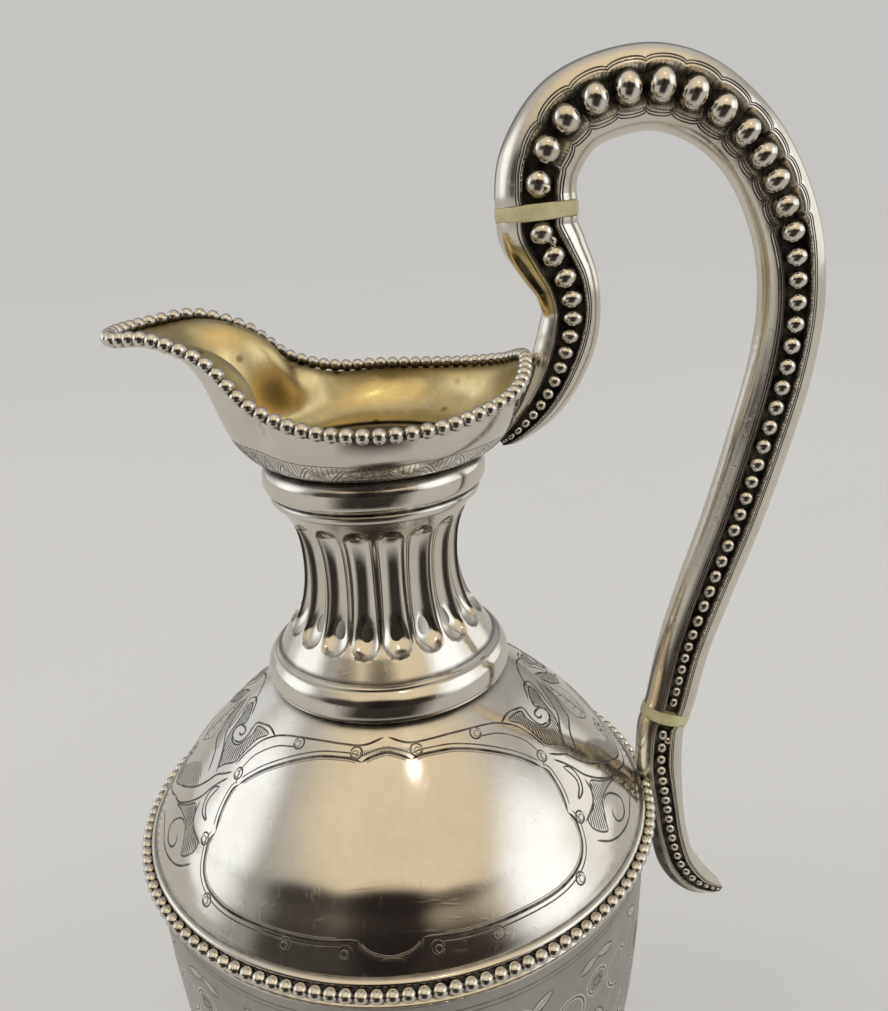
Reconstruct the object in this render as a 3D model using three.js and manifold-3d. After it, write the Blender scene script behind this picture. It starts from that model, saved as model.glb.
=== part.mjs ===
// Silver water jug: ovoid body on a low round foot, domed shoulder with a beaded border, fluted
// waisted neck, beaded helmet mouth, and a tall hollow loop handle in three cast lengths that are
// joined through two insulator blocks.
// Millimetres, +Z up. The origin is the centre of the underside; the spout points along -X and
// the handle stands on +X. The jug is symmetric about the plane Y = 0.

import * as THREE from 'three';
import { mergeVertices } from 'three/addons/utils/BufferGeometryUtils.js';
import Module from 'manifold-3d';

const wasm = await Module();
wasm.setup();

// ---------------------------------------------------------------- driving dimensions

const GAP = 0.32;              // clearance kept between pieces that are soldered together
const WALL = 1.3;              // sheet silver of the vessel
const AROUND = 36;             // facets round the plain turned pieces

const BORDER_Z = 150;          // height of the shoulder bead border
const BORDER_R = 64;           // circle through the centres of the shoulder beads
const BEAD_R = 1.5;            // bead wire of shoulder, foot and rim
const BODY_R = 62.4;           // widest radius of the ovoid body
const BODY_FOOT_R = 17;        // where the body meets the stem ring
const BODY_FOOT_Z = 22;
const BAND_INNER_R = 59.3;     // bore of the shoulder band, and of the dome's rim
const STEM_TOP_Z = 16.4;       // joint of the foot and the stem ring
const FOOT_R = 47.2;
const FOOT_BORE_R = 41;        // the base plate fills this
const FOOT_SEAT_R = 42.6;      // wall behind the foot's beads
const FOOT_LEDGE_Z = 2.3;

const NECK_FLUTES = 18;
const FLUTE_DEPTH = 1.7;
const FLUTE_FOOT_Z = 52;       // heights above the shoulder border, like all shoulder profiles
const FLUTE_HEAD_Z = 80.5;
const MOUTH_FOOT_R = 23.4;
const MOUTH_FOOT_Z = 94;
const MOUTH_TURNS = 44;        // facets round the mouth
const MOUTH_RISES = [0, 0.18, 0.36, 0.54, 0.72, 0.9, 1];

const THICKNESS_RATIO = 0.72;  // handle thickness over handle width
const CHANNEL_HALF = 0.5;      // bead channel half width over handle half width
const CHANNEL_FLOOR = 0.7;     // bead channel floor over handle half thickness
const HOLLOW = 0.45;           // inside of the hollow handle over its half thickness
const SEAM = 0.3;              // gap between the two halves of a casting
const INSULATOR_T = 2.5;
const SPIGOT = 5.6;            // insulator tenon inside each hollow end
const PIN_R = 0.8;
const PIN_SET = 3.4;           // distance of a cross pin from the insulator's face

// ---------------------------------------------------------------- materials

function silver(tone, roughness) {
  return new THREE.MeshStandardMaterial({ color: tone, roughness, metalness: 1 });
}

const POLISHED = silver(0xc9c4b8, 0.16);
const SHADED = silver(0x9d988c, 0.3);
const ENGRAVED = silver(0xaaa69c, 0.42);
const GILT = new THREE.MeshStandardMaterial({ color: 0xc9ac62, roughness: 0.32, metalness: 1 });
const BONE = new THREE.MeshStandardMaterial({ color: 0xd8cc96, roughness: 0.38, metalness: 0 });

// ---------------------------------------------------------------- solids from surfaces

// Merge shared corners, drop triangles without area, and turn the faces outwards.
function tidy(geometry) {
  geometry.deleteAttribute('normal');
  geometry.deleteAttribute('uv');
  const merged = mergeVertices(geometry, 1e-4);
  const index = merged.index.array;
  const kept = [];
  for (let i = 0; i < index.length; i += 3) {
    const [a, b, c] = [index[i], index[i + 1], index[i + 2]];
    if (a !== b && b !== c && c !== a) kept.push(a, b, c);
  }
  const inward = signedVolume(merged.attributes.position, kept) < 0;
  if (inward) kept.reverse();
  merged.setIndex(kept);
  merged.computeVertexNormals();
  return merged;
}

function signedVolume(position, index) {
  const [a, b, c] = [new THREE.Vector3(), new THREE.Vector3(), new THREE.Vector3()];
  let volume = 0;
  for (let i = 0; i < index.length; i += 3) {
    a.fromBufferAttribute(position, index[i]);
    b.fromBufferAttribute(position, index[i + 1]);
    c.fromBufferAttribute(position, index[i + 2]);
    volume += a.dot(b.cross(c)) / 6;
  }
  return volume;
}

// Turn a closed outline of [radius, height] points round the Z axis.
function revolve(outline, facets = AROUND) {
  const loop = [...outline, outline[0]].map(([r, z]) => new THREE.Vector2(r, z));
  return new THREE.LatheGeometry(loop, facets).rotateX(Math.PI / 2);
}

function raised(outline, height) {
  return outline.map(([r, z]) => [r, z + height]);
}

// Points of a smooth curve through a few [radius, height] points.
function smooth(points, count) {
  const curve = new THREE.SplineCurve(points.map(([r, z]) => new THREE.Vector2(r, z)));
  return curve.getPoints(count).map((p) => [p.x, p.y]);
}

// Skin a row of rings that all have the same number of points. A closed row joins its last ring
// to its first; an open row is capped with the triangles of the flat outline.
function skin(rings, outline = null) {
  const size = rings[0].length;
  const spans = outline ? rings.length - 1 : rings.length;
  const index = [];
  for (let i = 0; i < spans; i += 1) {
    const here = i * size;
    const next = ((i + 1) % rings.length) * size;
    for (let j = 0; j < size; j += 1) {
      const k = (j + 1) % size;
      index.push(here + j, here + k, next + k);
      index.push(here + j, next + k, next + j);
    }
  }
  if (outline) {
    const end = (rings.length - 1) * size;
    for (const [a, b, c] of THREE.ShapeUtils.triangulateShape(outline, [])) {
      const forward = THREE.ShapeUtils.isClockWise(outline);
      const [p, q] = forward ? [b, c] : [c, b];
      index.push(a, p, q);
      index.push(end + a, end + q, end + p);
    }
  }
  const geometry = new THREE.BufferGeometry().setFromPoints(rings.flat());
  geometry.setIndex(index);
  return geometry;
}

function toManifold(geometry) {
  const plain = tidy(geometry);
  return new wasm.Manifold(new wasm.Mesh({
    numProp: 3,
    vertProperties: plain.attributes.position.array,
    triVerts: new Uint32Array(plain.index.array),
  }));
}

function fromManifold(body) {
  const { vertProperties, triVerts } = body.getMesh();
  const geometry = new THREE.BufferGeometry();
  geometry.setAttribute('position', new THREE.Float32BufferAttribute(vertProperties, 3));
  geometry.setIndex([...triVerts]);
  return geometry;
}

function cut(geometry, ...cutters) {
  let body = toManifold(geometry);
  for (const cutter of cutters) body = body.subtract(toManifold(cutter));
  return fromManifold(body);
}

// ---------------------------------------------------------------- foot and drum

function basePlate() {
  const radius = FOOT_BORE_R - GAP;
  return new THREE.CylinderGeometry(radius, radius, WALL, AROUND)
    .rotateX(Math.PI / 2)
    .translate(0, 0, WALL / 2);
}

// Spreading hollow foot: a cove from the stem down to a ledge that carries the foot's beads.
function foot() {
  const cove = smooth([[15.4, STEM_TOP_Z - 0.6], [17.5, 13.6], [22, 10.6], [30, 8.2], [38, 6.9]], 5);
  const ledge = [[FOOT_SEAT_R, 5.9], [FOOT_SEAT_R, FOOT_LEDGE_Z], [46.8, FOOT_LEDGE_Z]];
  const toe = [[FOOT_R, 1.7], [FOOT_R, 0], [FOOT_BORE_R, 0], [FOOT_BORE_R, 2.4]];
  const inside = [[37.8, 5.2], [29.6, 6.6], [21, 9.1], [15.6, 12.4], [12, STEM_TOP_Z]];
  return revolve([[13.5, STEM_TOP_Z], ...cove, ...ledge, ...toe, ...inside]);
}

function beadWireRing(radius, height) {
  return new THREE.TorusGeometry(radius, BEAD_R, 6, 44).translate(0, 0, height);
}

// Rounded ring between the foot and the body.
function stemRing() {
  const low = STEM_TOP_Z + GAP;
  const high = BODY_FOOT_Z - GAP;
  const belly = smooth([[13.5, low], [17, low + 0.9], [18.3, (low + high) / 2], [16.8, high]], 4);
  return revolve([...belly, [9, high], [9, low]]);
}

// Outer line of the ovoid body, from under the shoulder band down to the stem ring.
const BODY_LINE = smooth([
  [BODY_R, -4.8], [BODY_R, -14], [62.1, -25], [61, -42], [59.3, -57], [56.6, -72], [52.4, -87],
  [46.6, -100], [40, -110], [32.4, -118], [25, -123.4], [BODY_FOOT_R, BODY_FOOT_Z - BORDER_Z],
], 12);

// The same line moved inwards, square to itself.
function insetLine(line, depth) {
  return line.map(([r, z], i) => {
    const [r0, z0] = line[Math.max(i - 1, 0)];
    const [r1, z1] = line[Math.min(i + 1, line.length - 1)];
    const length = Math.hypot(r1 - r0, z1 - z0);
    return [r + (depth * (z1 - z0)) / length, z - (depth * (r1 - r0)) / length];
  });
}

// The vessel's lower shell with its rounded floor.
function body() {
  const inside = insetLine(BODY_LINE, WALL).reverse();
  inside[inside.length - 1][1] = BODY_LINE[0][1];
  const floor = [[0, BODY_FOOT_Z - BORDER_Z], [0, BODY_FOOT_Z - BORDER_Z + WALL]];
  return revolve(raised([...BODY_LINE, ...floor, ...inside], BORDER_Z));
}

// ---------------------------------------------------------------- shoulder

function shoulderBand() {
  const lip = [[BAND_INNER_R, -4.4], [63, -4.4], [63.3, -3.9], [62.9, -3.2]];
  const seatR = BORDER_R - BEAD_R - GAP;
  return revolve(raised([...lip, [seatR, -2.6], [seatR, 2], [BAND_INNER_R, 2]], BORDER_Z));
}

// Outer line of the dome from its fillet up to the hole for the neck.
function domeLine() {
  const fillet = [[62.6, 2.3], [62.6, 3.2], [61.4, 3.6]];
  const bell = [[60.6, 4.2], [58.2, 8], [55.4, 12], [52.6, 16], [45, 24], [36, 32], [26.5, 39.2]];
  return [...fillet, ...smooth(bell, 8)];
}

function shoulderDome() {
  const outside = domeLine();
  const bell = [
    [BAND_INNER_R, 3.4], [56.9, 7.5], [51.5, 15.2], [44, 23.1], [35.2, 31], [26.5, 37.6],
  ];
  const inside = smooth(bell, 5).reverse();
  return revolve(raised([...outside, ...inside, [BAND_INNER_R, 2.3]], BORDER_Z));
}

// ---------------------------------------------------------------- neck

function neckCollar() {
  const torus = [[27.4, 39.2], [28.6, 39.1], [29.3, 40.2], [29.4, 42], [28.8, 44.4], [27.6, 46.2]];
  const bore = [[26.3, 47.2], [22.6, 47.2], [22.6, 39.6], [26.6, 39.6]];
  return revolve(raised([...smooth(torus, 6), ...bore], BORDER_Z));
}

// Radius of the ridges between the flutes at a height above the border.
const NECK_LINE = smooth([
  [26, 47.6], [23.2, 51.8], [20.6, 56], [18.9, 62], [18.4, 69], [19.2, 76], [21.2, 81], [22.8, 83.8],
], 9);

// A flute is round-ended: full depth along its length, rising to the skin at both ends.
function fluteDepth(angle, height) {
  const turn = (angle * NECK_FLUTES) / (2 * Math.PI);
  const across = Math.abs(turn - Math.round(turn)) * 2;
  const span = (height - FLUTE_FOOT_Z) / (FLUTE_HEAD_Z - FLUTE_FOOT_Z);
  if (span < 0 || span > 1) return 0;
  const along = Math.min(1, 6 * Math.min(span, 1 - span));
  return FLUTE_DEPTH * Math.sqrt(along) * Math.max(0, 1 - across * across);
}

function neck() {
  const inside = [[20.2, 83.8], [15.8, 74], [16, 62], [22.6, 47.6]];
  const facets = NECK_FLUTES * 4;
  const turned = revolve([...NECK_LINE, ...inside], facets);
  const position = turned.attributes.position;
  const outer = (z) => NECK_LINE.some(([, height]) => Math.abs(height - z) < 1e-3);
  for (let i = 0; i < position.count; i += 1) {
    const [x, y, z] = [position.getX(i), position.getY(i), position.getZ(i)];
    const radius = Math.hypot(x, y);
    if (outer(z) && radius > 17.5) {
      const shrink = 1 - fluteDepth(Math.atan2(y, x), z) / radius;
      position.setXY(i, x * shrink, y * shrink);
    }
  }
  return turned.translate(0, 0, BORDER_Z);
}

function neckTopRing() {
  const fillet = [[22.7, 84.1], [23.6, 84.4], [24.1, 85.2], [24.2, 86.2]];
  const ovolo = smooth([[24.6, 86.8], [25.4, 88.6], [25.5, 90.6], [24.8, 92.4], [23.4, 93.4]], 5);
  return revolve(raised([...fillet, ...ovolo, [20.4, 93.6], [20.4, 84.1]], BORDER_Z));
}

// ---------------------------------------------------------------- mouth and spout

// Centre line of the rim beads on one side, from the spout's tip round to the handle.
const RIM_SIDE = [
  [-54.2, 0, 123.3], [-50.9, 12.1, 123.4], [-40.9, 19.6, 123.9], [-30, 23.6, 119.5],
  [-21.3, 28.4, 111.5], [-10.6, 33.6, 107.4], [1.4, 37.5, 106.6], [13.7, 35.2, 106.5],
  [23.9, 27.9, 107.5], [31.6, 18, 109.5], [35.4, 0, 113],
];

function rimCurve() {
  const side = RIM_SIDE.map(([x, y, z]) => new THREE.Vector3(x, y, z + BORDER_Z));
  const mirrored = side.slice(1, -1).reverse().map((p) => new THREE.Vector3(p.x, -p.y, p.z));
  return new THREE.CatmullRomCurve3([...side, ...mirrored], true);
}

// One point of the mouth's outer skin. turn runs round the rim from the spout's tip, and rise
// climbs from the neck to the rim. The sides are a bowl; towards the tip the wall swings out
// into the spout in an S.
function mouthPoint(rim, turn, rise) {
  const fromTip = Math.min(turn, 1 - turn);
  const spout = 1 - THREE.MathUtils.smoothstep(fromTip, 0.09, 0.24);
  const shelf = 1 - THREE.MathUtils.smoothstep(fromTip, 0.15, 0.36);
  const drop = BEAD_R + 1.8 * GAP + 1.4 * WALL * shelf;
  const edge = rim.getPointAt(turn).add(new THREE.Vector3(0, 0, -drop));
  const out = new THREE.Vector3(edge.x, edge.y, 0).normalize();
  const foot = out.clone().multiplyScalar(MOUTH_FOOT_R).setZ(BORDER_Z + MOUTH_FOOT_Z);
  const swell = foot.clone().addScaledVector(out, 9 + 7.2 * spout);
  swell.z += 1.5 + 2.9 * spout;
  const throat = edge.clone().addScaledVector(out, -1.2 - 24.8 * spout);
  throat.z -= 6.5 - 6.9 * spout;
  return new THREE.CubicBezierCurve3(foot, swell, throat, edge).getPoint(rise);
}

// Points of the skin at one turn, moved inwards along the surface normal.
function mouthLine(rim, turn, inset, rises) {
  const step = 1e-3;
  return rises.map((rise) => {
    const here = mouthPoint(rim, turn, rise);
    const low = mouthPoint(rim, turn, Math.max(0, rise - step));
    const high = mouthPoint(rim, turn, Math.min(1, rise + step));
    const before = mouthPoint(rim, (turn + 1 - step) % 1, rise);
    const after = mouthPoint(rim, (turn + step) % 1, rise);
    const normal = after.sub(before).cross(high.sub(low)).normalize();
    return here.addScaledVector(normal, inset);
  });
}

// Sheet between two depths below the outer skin, all the way round.
function mouthSheet(outerInset, innerInset, rises) {
  const rim = rimCurve();
  const rings = [];
  for (let i = 0; i < MOUTH_TURNS; i += 1) {
    const outer = mouthLine(rim, i / MOUTH_TURNS, outerInset, rises);
    const inner = mouthLine(rim, i / MOUTH_TURNS, innerInset, rises).reverse();
    rings.push([...outer, ...inner]);
  }
  return skin(rings);
}

function rimBeadWire() {
  const rim = rimCurve();
  const section = new THREE.Shape().absarc(0, 0, BEAD_R, 0, 2 * Math.PI);
  return new THREE.ExtrudeGeometry(section, { steps: 64, curveSegments: 3, extrudePath: rim });
}

// ---------------------------------------------------------------- handle

// Centre line and width of each cast length: [x, height above the border, width]. The lengths
// follow one another from the tail on the bowl, over the arch, to the tail under the shoulder.
const UPPER_SOCKET = [
  [29.5, 93.6, 1.8], [31.5, 94.9, 4.2], [34.8, 98, 7.2], [38.3, 102.2, 10], [41.3, 107.3, 11.8],
  [43.4, 112.5, 13], [44.8, 117, 13.4], [45.6, 122.5, 12.9], [44.5, 128.5, 14],
  [41.4, 134.6, 16], [38.72, 139.9, 17.2], [38.6, 141.9, 17.3],
];
const ARM = [
  [38.4, 145.2, 17.3], [38.28, 147.2, 17.2], [39.3, 153.2, 17.1], [45.8, 162.1, 16.9],
  [59.4, 166.3, 16.5], [69.1, 164.7, 16], [78.6, 158.8, 14.8], [85.9, 150.1, 14.2], [92.1, 135.7, 14.4],
  [93.9, 121.5, 14.5], [92.5, 107, 14.6], [88.5, 89.7, 14.6], [83.7, 72.1, 14.2],
  [78.3, 55.3, 13.8], [73.3, 38.4, 12.9], [70.37, 23.2, 12.4], [69.8, 21.3, 12.3],
];
const LOWER_SOCKET = [
  [68.9, 18.3, 12.2], [68.33, 16.4, 12.1], [68, 11, 11.9], [68, 5, 12], [69, -2, 10.8],
  [70.2, -9, 9.4], [71.3, -16, 10], [73.9, -25.5, 11.2], [76.9, -30.6, 10.8], [80.1, -34, 9.2],
  [83.6, -36.5, 5.8], [86.4, -38.2, 1.8],
];
// Width of the bead strip at stations along each length: [fraction of the length, half width].
const SOCKET_BEADS = [[0, 0.3], [0.15, 1.1], [0.5, 2], [0.75, 2.6], [1, 2.4]];
const ARM_BEADS = [[0, 2.4], [0.06, 2.9], [0.2, 3.5], [0.38, 2.7], [0.45, 2.1], [0.8, 1.5], [1, 0.9]];
const TAIL_BEADS = [[0, 1.1], [0.3, 1.3], [0.8, 1], [1, 0.3]];

function lerpTable(table, at) {
  const next = table.findIndex(([key]) => key >= at);
  if (next <= 0) return table[Math.max(next, 0)][1];
  const [[k0, v0], [k1, v1]] = [table[next - 1], table[next]];
  return THREE.MathUtils.lerp(v0, v1, (at - k0) / (k1 - k0));
}

// Sections along a cast length: its centre, the direction of travel, the outward direction in
// the plane of the loop, and the width.
function stations(length, count) {
  const centre = new THREE.CatmullRomCurve3(
    length.map(([x, z]) => new THREE.Vector3(x, 0, z + BORDER_Z)),
  );
  const list = [];
  for (let i = 0; i <= count; i += 1) {
    const at = i / count;
    const t = centre.getUtoTmapping(at);
    const knot = t * (length.length - 1);
    const low = Math.min(Math.floor(knot), length.length - 2);
    const width = THREE.MathUtils.lerp(length[low][2], length[low + 1][2], knot - low);
    const tangent = centre.getTangent(t);
    const outward = new THREE.Vector3(-tangent.z, 0, tangent.x);
    list.push({ at, centre: centre.getPoint(t), tangent, outward, width });
  }
  return list;
}

// Place flat [outward, sideways] points in a station's section plane, on one side of the seam.
function placed(station, outline, side) {
  return outline.map(([n, v]) => station.centre.clone()
    .addScaledVector(station.outward, n)
    .setY(side * v));
}

// Half of the hollow section, from the seam round the outside and back along the inside. Its
// flank is sunk between the channel's edges, where the bead strip lies.
function halfOutline(width, hollow) {
  const a = width / 2;
  const b = a * THICKNESS_RATIO;
  const flank = [150, 120].map((degrees) => {
    const angle = THREE.MathUtils.degToRad(degrees);
    return [a * Math.cos(angle), b * Math.sin(angle)];
  });
  const floor = [[-(CHANNEL_HALF - 0.04) * a, CHANNEL_FLOOR * b]];
  const inner = [[0.76 * a, SEAM / 2], [0.46 * a, SEAM / 2 + hollow * b]];
  const start = [[-a, SEAM / 2], ...flank, ...floor];
  const mirrored = start.map(([n, v]) => [-n, v]).reverse();
  const back = inner.map(([n, v]) => [-n, v]).reverse();
  return [...start, ...mirrored, ...inner, ...back];
}

function vectors(outline) {
  return outline.map(([n, v]) => new THREE.Vector2(n, v));
}

// hollowFrom and hollowTo bound the stretch that is cored out; the tails are nearly solid.
function castHalf(length, count, side, hollowFrom, hollowTo) {
  const list = stations(length, count);
  const depth = (at) => (at >= hollowFrom && at <= hollowTo ? HOLLOW : 0.03);
  const rings = list.map((s) => placed(s, halfOutline(s.width, depth(s.at)), side));
  return skin(rings, vectors(halfOutline(10, HOLLOW)));
}

// Half-round strip that carries the beads along one side channel.
function beadStrip(length, count, side, beads) {
  const outline = (width, r) => {
    const floor = (CHANNEL_FLOOR * THICKNESS_RATIO * width) / 2 + GAP;
    return [[-r, floor], [r, floor], [0.7 * r, floor + 0.65 * r], [0, floor + 0.95 * r],
      [-0.7 * r, floor + 0.65 * r]];
  };
  const list = stations(length, count);
  const rings = list.map((s) => placed(s, outline(s.width, lerpTable(beads, s.at)), side));
  return skin(rings, vectors(outline(10, 1)));
}

// Oval block between two lengths of the handle, with a tenon into each hollow end.
function insulator(before, after) {
  const [low, high] = [before.centre, after.centre];
  const axis = high.clone().sub(low).normalize();
  const outward = new THREE.Vector3(-axis.z, 0, axis.x);
  const middle = low.clone().add(high).multiplyScalar(0.5);
  const a = (before.width + after.width) / 4 + 0.25;
  const b = a * THICKNESS_RATIO;
  const reach = INSULATOR_T / 2;
  const steps = [
    [-reach - SPIGOT, 0.48, 0.28], [-reach, 0.48, 0.28], [-reach, 1, 1],
    [reach, 1, 1], [reach, 0.48, 0.28], [reach + SPIGOT, 0.48, 0.28],
  ];
  const sides = 20;
  const rings = steps.map(([along, wide, thick]) => {
    const ring = [];
    for (let i = 0; i < sides; i += 1) {
      const angle = (2 * Math.PI * i) / sides;
      ring.push(middle.clone()
        .addScaledVector(axis, along)
        .addScaledVector(outward, a * wide * Math.cos(angle))
        .setY(b * thick * Math.sin(angle)));
    }
    return ring;
  });
  const outline = rings[0].map((p) => new THREE.Vector2(p.clone().sub(middle).dot(outward), p.y));
  return skin(rings, outline);
}

// Cross pin through one hollow end, a set distance from its insulator.
function crossPin(station, away, radius) {
  const half = (CHANNEL_FLOOR * THICKNESS_RATIO * station.width) / 2;
  const centre = station.centre.clone().addScaledVector(station.tangent, away);
  return new THREE.CylinderGeometry(radius, radius, 2 * half, 10)
    .translate(centre.x, 0, centre.z);
}

// Clearance cutter for the shoulder border, where the lower socket is notched over it.
function borderSeat() {
  const clear = BORDER_R + BEAD_R + GAP;
  const dome = domeLine().slice(3, 8).map(([r, z]) => [r + 2 * GAP, z]);
  return revolve(raised([[40, -5], [clear, -5], [clear, 2.2], ...dome, [40, 20]], BORDER_Z), 160);
}

// ---------------------------------------------------------------- assembly

const jug = new THREE.Group();

function add(name, geometry, material) {
  const mesh = new THREE.Mesh(tidy(geometry), material);
  mesh.name = name;
  jug.add(mesh);
}

add('base_plate', basePlate(), POLISHED);
add('foot', foot(), POLISHED);
add('foot_bead_border', beadWireRing(
  FOOT_SEAT_R + BEAD_R + GAP, FOOT_LEDGE_Z + BEAD_R + GAP,
), SHADED);
add('stem_ring', stemRing(), POLISHED);
add('body', body(), ENGRAVED);
add('shoulder_band', shoulderBand(), POLISHED);
add('shoulder_bead_border', beadWireRing(BORDER_R, BORDER_Z), SHADED);
add('shoulder_dome', shoulderDome(), POLISHED);
add('neck_collar', neckCollar(), POLISHED);
add('neck', neck(), POLISHED);
add('neck_top_ring', neckTopRing(), POLISHED);
add('mouth_bowl', mouthSheet(0, WALL, MOUTH_RISES), POLISHED);
add('gilt_lining', mouthSheet(WALL + 1.6 * GAP, WALL + 2.8 * GAP, MOUTH_RISES.slice(1, -1)), GILT);
add('rim_bead_wire', rimBeadWire(), SHADED);

const ends = {
  socketTop: stations(UPPER_SOCKET, 20)[20],
  armTop: stations(ARM, 20)[0],
  armFoot: stations(ARM, 20)[20],
  tailTop: stations(LOWER_SOCKET, 20)[0],
};
const pins = {
  upper_pin_low: [ends.socketTop, -PIN_SET],
  upper_pin_high: [ends.armTop, PIN_SET],
  lower_pin_high: [ends.armFoot, -PIN_SET],
  lower_pin_low: [ends.tailTop, PIN_SET],
};
const pinHole = (name) => crossPin(...pins[name], PIN_R + GAP).scale(1, 2, 1);

add('upper_insulator', cut(
  insulator(ends.socketTop, ends.armTop), pinHole('upper_pin_low'), pinHole('upper_pin_high'),
), BONE);
add('lower_insulator', cut(
  insulator(ends.armFoot, ends.tailTop), pinHole('lower_pin_high'), pinHole('lower_pin_low'),
), BONE);
for (const [name, [station, away]] of Object.entries(pins)) {
  add(name, crossPin(station, away, PIN_R), POLISHED);
}

for (const [hand, side] of [['left', -1], ['right', 1]]) {
  add(`upper_socket_${hand}`, cut(
    castHalf(UPPER_SOCKET, 14, side, 0.6, 1), pinHole('upper_pin_low'),
  ), POLISHED);
  add(`arm_${hand}`, cut(
    castHalf(ARM, 30, side, 0, 1), pinHole('upper_pin_high'), pinHole('lower_pin_high'),
  ), POLISHED);
  add(`lower_socket_${hand}`, cut(
    castHalf(LOWER_SOCKET, 16, side, 0, 0.2), pinHole('lower_pin_low'), borderSeat(),
  ), POLISHED);
  add(`upper_socket_beads_${hand}`, beadStrip(UPPER_SOCKET, 14, side, SOCKET_BEADS), SHADED);
  add(`arm_beads_${hand}`, beadStrip(ARM, 30, side, ARM_BEADS), SHADED);
  add(`lower_socket_beads_${hand}`, beadStrip(LOWER_SOCKET, 16, side, TAIL_BEADS), SHADED);
}

export default jug;
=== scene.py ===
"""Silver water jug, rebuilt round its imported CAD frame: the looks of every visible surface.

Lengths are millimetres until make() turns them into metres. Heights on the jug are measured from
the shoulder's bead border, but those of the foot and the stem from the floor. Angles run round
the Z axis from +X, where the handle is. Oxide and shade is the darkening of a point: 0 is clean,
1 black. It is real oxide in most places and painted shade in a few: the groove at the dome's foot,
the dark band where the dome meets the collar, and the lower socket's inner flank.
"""

import math

import bmesh
import bpy
import numpy as np
from mathutils import Matrix, Vector


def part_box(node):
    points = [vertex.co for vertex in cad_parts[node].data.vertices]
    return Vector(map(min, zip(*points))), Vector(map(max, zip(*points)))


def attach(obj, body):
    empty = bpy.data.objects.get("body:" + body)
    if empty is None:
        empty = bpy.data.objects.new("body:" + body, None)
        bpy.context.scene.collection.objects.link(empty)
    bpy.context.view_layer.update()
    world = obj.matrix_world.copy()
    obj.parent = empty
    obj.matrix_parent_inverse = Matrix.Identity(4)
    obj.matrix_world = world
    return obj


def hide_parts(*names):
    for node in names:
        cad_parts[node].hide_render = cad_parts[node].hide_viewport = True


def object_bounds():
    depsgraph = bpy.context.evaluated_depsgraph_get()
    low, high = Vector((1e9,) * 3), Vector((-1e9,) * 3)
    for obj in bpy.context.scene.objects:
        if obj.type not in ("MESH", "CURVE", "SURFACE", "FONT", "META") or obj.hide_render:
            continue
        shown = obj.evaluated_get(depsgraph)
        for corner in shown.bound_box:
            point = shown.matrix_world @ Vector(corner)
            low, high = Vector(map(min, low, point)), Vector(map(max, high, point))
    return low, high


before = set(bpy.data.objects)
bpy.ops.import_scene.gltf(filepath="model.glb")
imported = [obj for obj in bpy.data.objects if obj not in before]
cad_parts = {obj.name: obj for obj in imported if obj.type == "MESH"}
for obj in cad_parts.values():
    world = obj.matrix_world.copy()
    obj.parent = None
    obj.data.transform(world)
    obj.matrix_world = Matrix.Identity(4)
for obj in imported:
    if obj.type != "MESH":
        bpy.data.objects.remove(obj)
cad_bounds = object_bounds()


def plain(corners):
    return [[float(c) for c in corner] for corner in corners]


LOW, HIGH = (np.array(corner) * 1000 for corner in plain(cad_bounds))

# ------------------------------------------------------------------ places taken from the frame

BEAD_R = 1.5


def bead_wire(node):
    """Radius and height of the centre of a round bead wire in the CAD."""
    low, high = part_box(node)
    return 1000 * high.y - BEAD_R, 500 * (low.z + high.z)


BORDER_R, BORDER_Z = bead_wire("shoulder_bead_border")
FOOT_BEAD_R, FOOT_BEAD_Z = bead_wire("foot_bead_border")

# ------------------------------------------------------------------ curves


def spline(points, per_span=10, closed=False):
    """Centripetal Catmull-Rom curve through the points."""
    p = np.asarray(points, float)
    if closed:
        ext = np.vstack([p[-1], p, p[0], p[1]])
    else:
        ext = np.vstack([2 * p[0] - p[1], p, 2 * p[-1] - p[-2]])
    step = np.maximum(np.linalg.norm(np.diff(ext, axis=0), axis=1) ** 0.5, 1e-3)[:, None]
    x0, x1, x2, x3 = ext[:-3], ext[1:-2], ext[2:-1], ext[3:]
    d0, d1, d2 = step[:-2], step[1:-1], step[2:]
    m1 = ((x1 - x0) / d0 - (x2 - x0) / (d0 + d1) + (x2 - x1) / d1) * d1
    m2 = ((x2 - x1) / d1 - (x3 - x1) / (d1 + d2) + (x3 - x2) / d2) * d1
    t = (np.arange(per_span) / per_span)[None, :, None]
    one, two, out, arrive = x1[:, None], x2[:, None], m1[:, None], m2[:, None]
    curve = (2 * t**3 - 3 * t**2 + 1) * one + (t**3 - 2 * t**2 + t) * out
    curve = curve + (3 * t**2 - 2 * t**3) * two + (t**3 - t**2) * arrive
    curve = curve.reshape(-1, p.shape[1])
    return curve if closed else np.vstack([curve, p[-1]])


def lengths(curve):
    """Length of the curve up to each of its points."""
    return np.r_[0, np.cumsum(np.linalg.norm(np.diff(curve, axis=0), axis=1))]


def at_lengths(curve, where, measure=None):
    """The curve at given lengths, which count only its first few columns if measure says so."""
    run = lengths(curve if measure is None else curve[:, :measure])
    return np.stack([np.interp(where, run, column) for column in curve.T], axis=-1)


def evenly(curve, spacing):
    total = lengths(curve)[-1]
    return at_lengths(curve, np.linspace(0, total, max(3, int(round(total / spacing)) + 1)))


def smoothstep(x, low, high):
    t = np.clip((np.asarray(x, float) - low) / (high - low), 0, 1)
    return t * t * (3 - 2 * t)


def unit(v):
    return v / np.maximum(np.linalg.norm(v, axis=-1, keepdims=True), 1e-12)


def polar(r, angle, z):
    """Points from a radius, an angle and a height."""
    return np.stack([r * np.cos(angle), r * np.sin(angle), z + 0 * r * angle], -1)


def full_turn(count):
    return np.linspace(0, 2 * math.pi, count, endpoint=False)


# ------------------------------------------------------------------ mesh pieces


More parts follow.
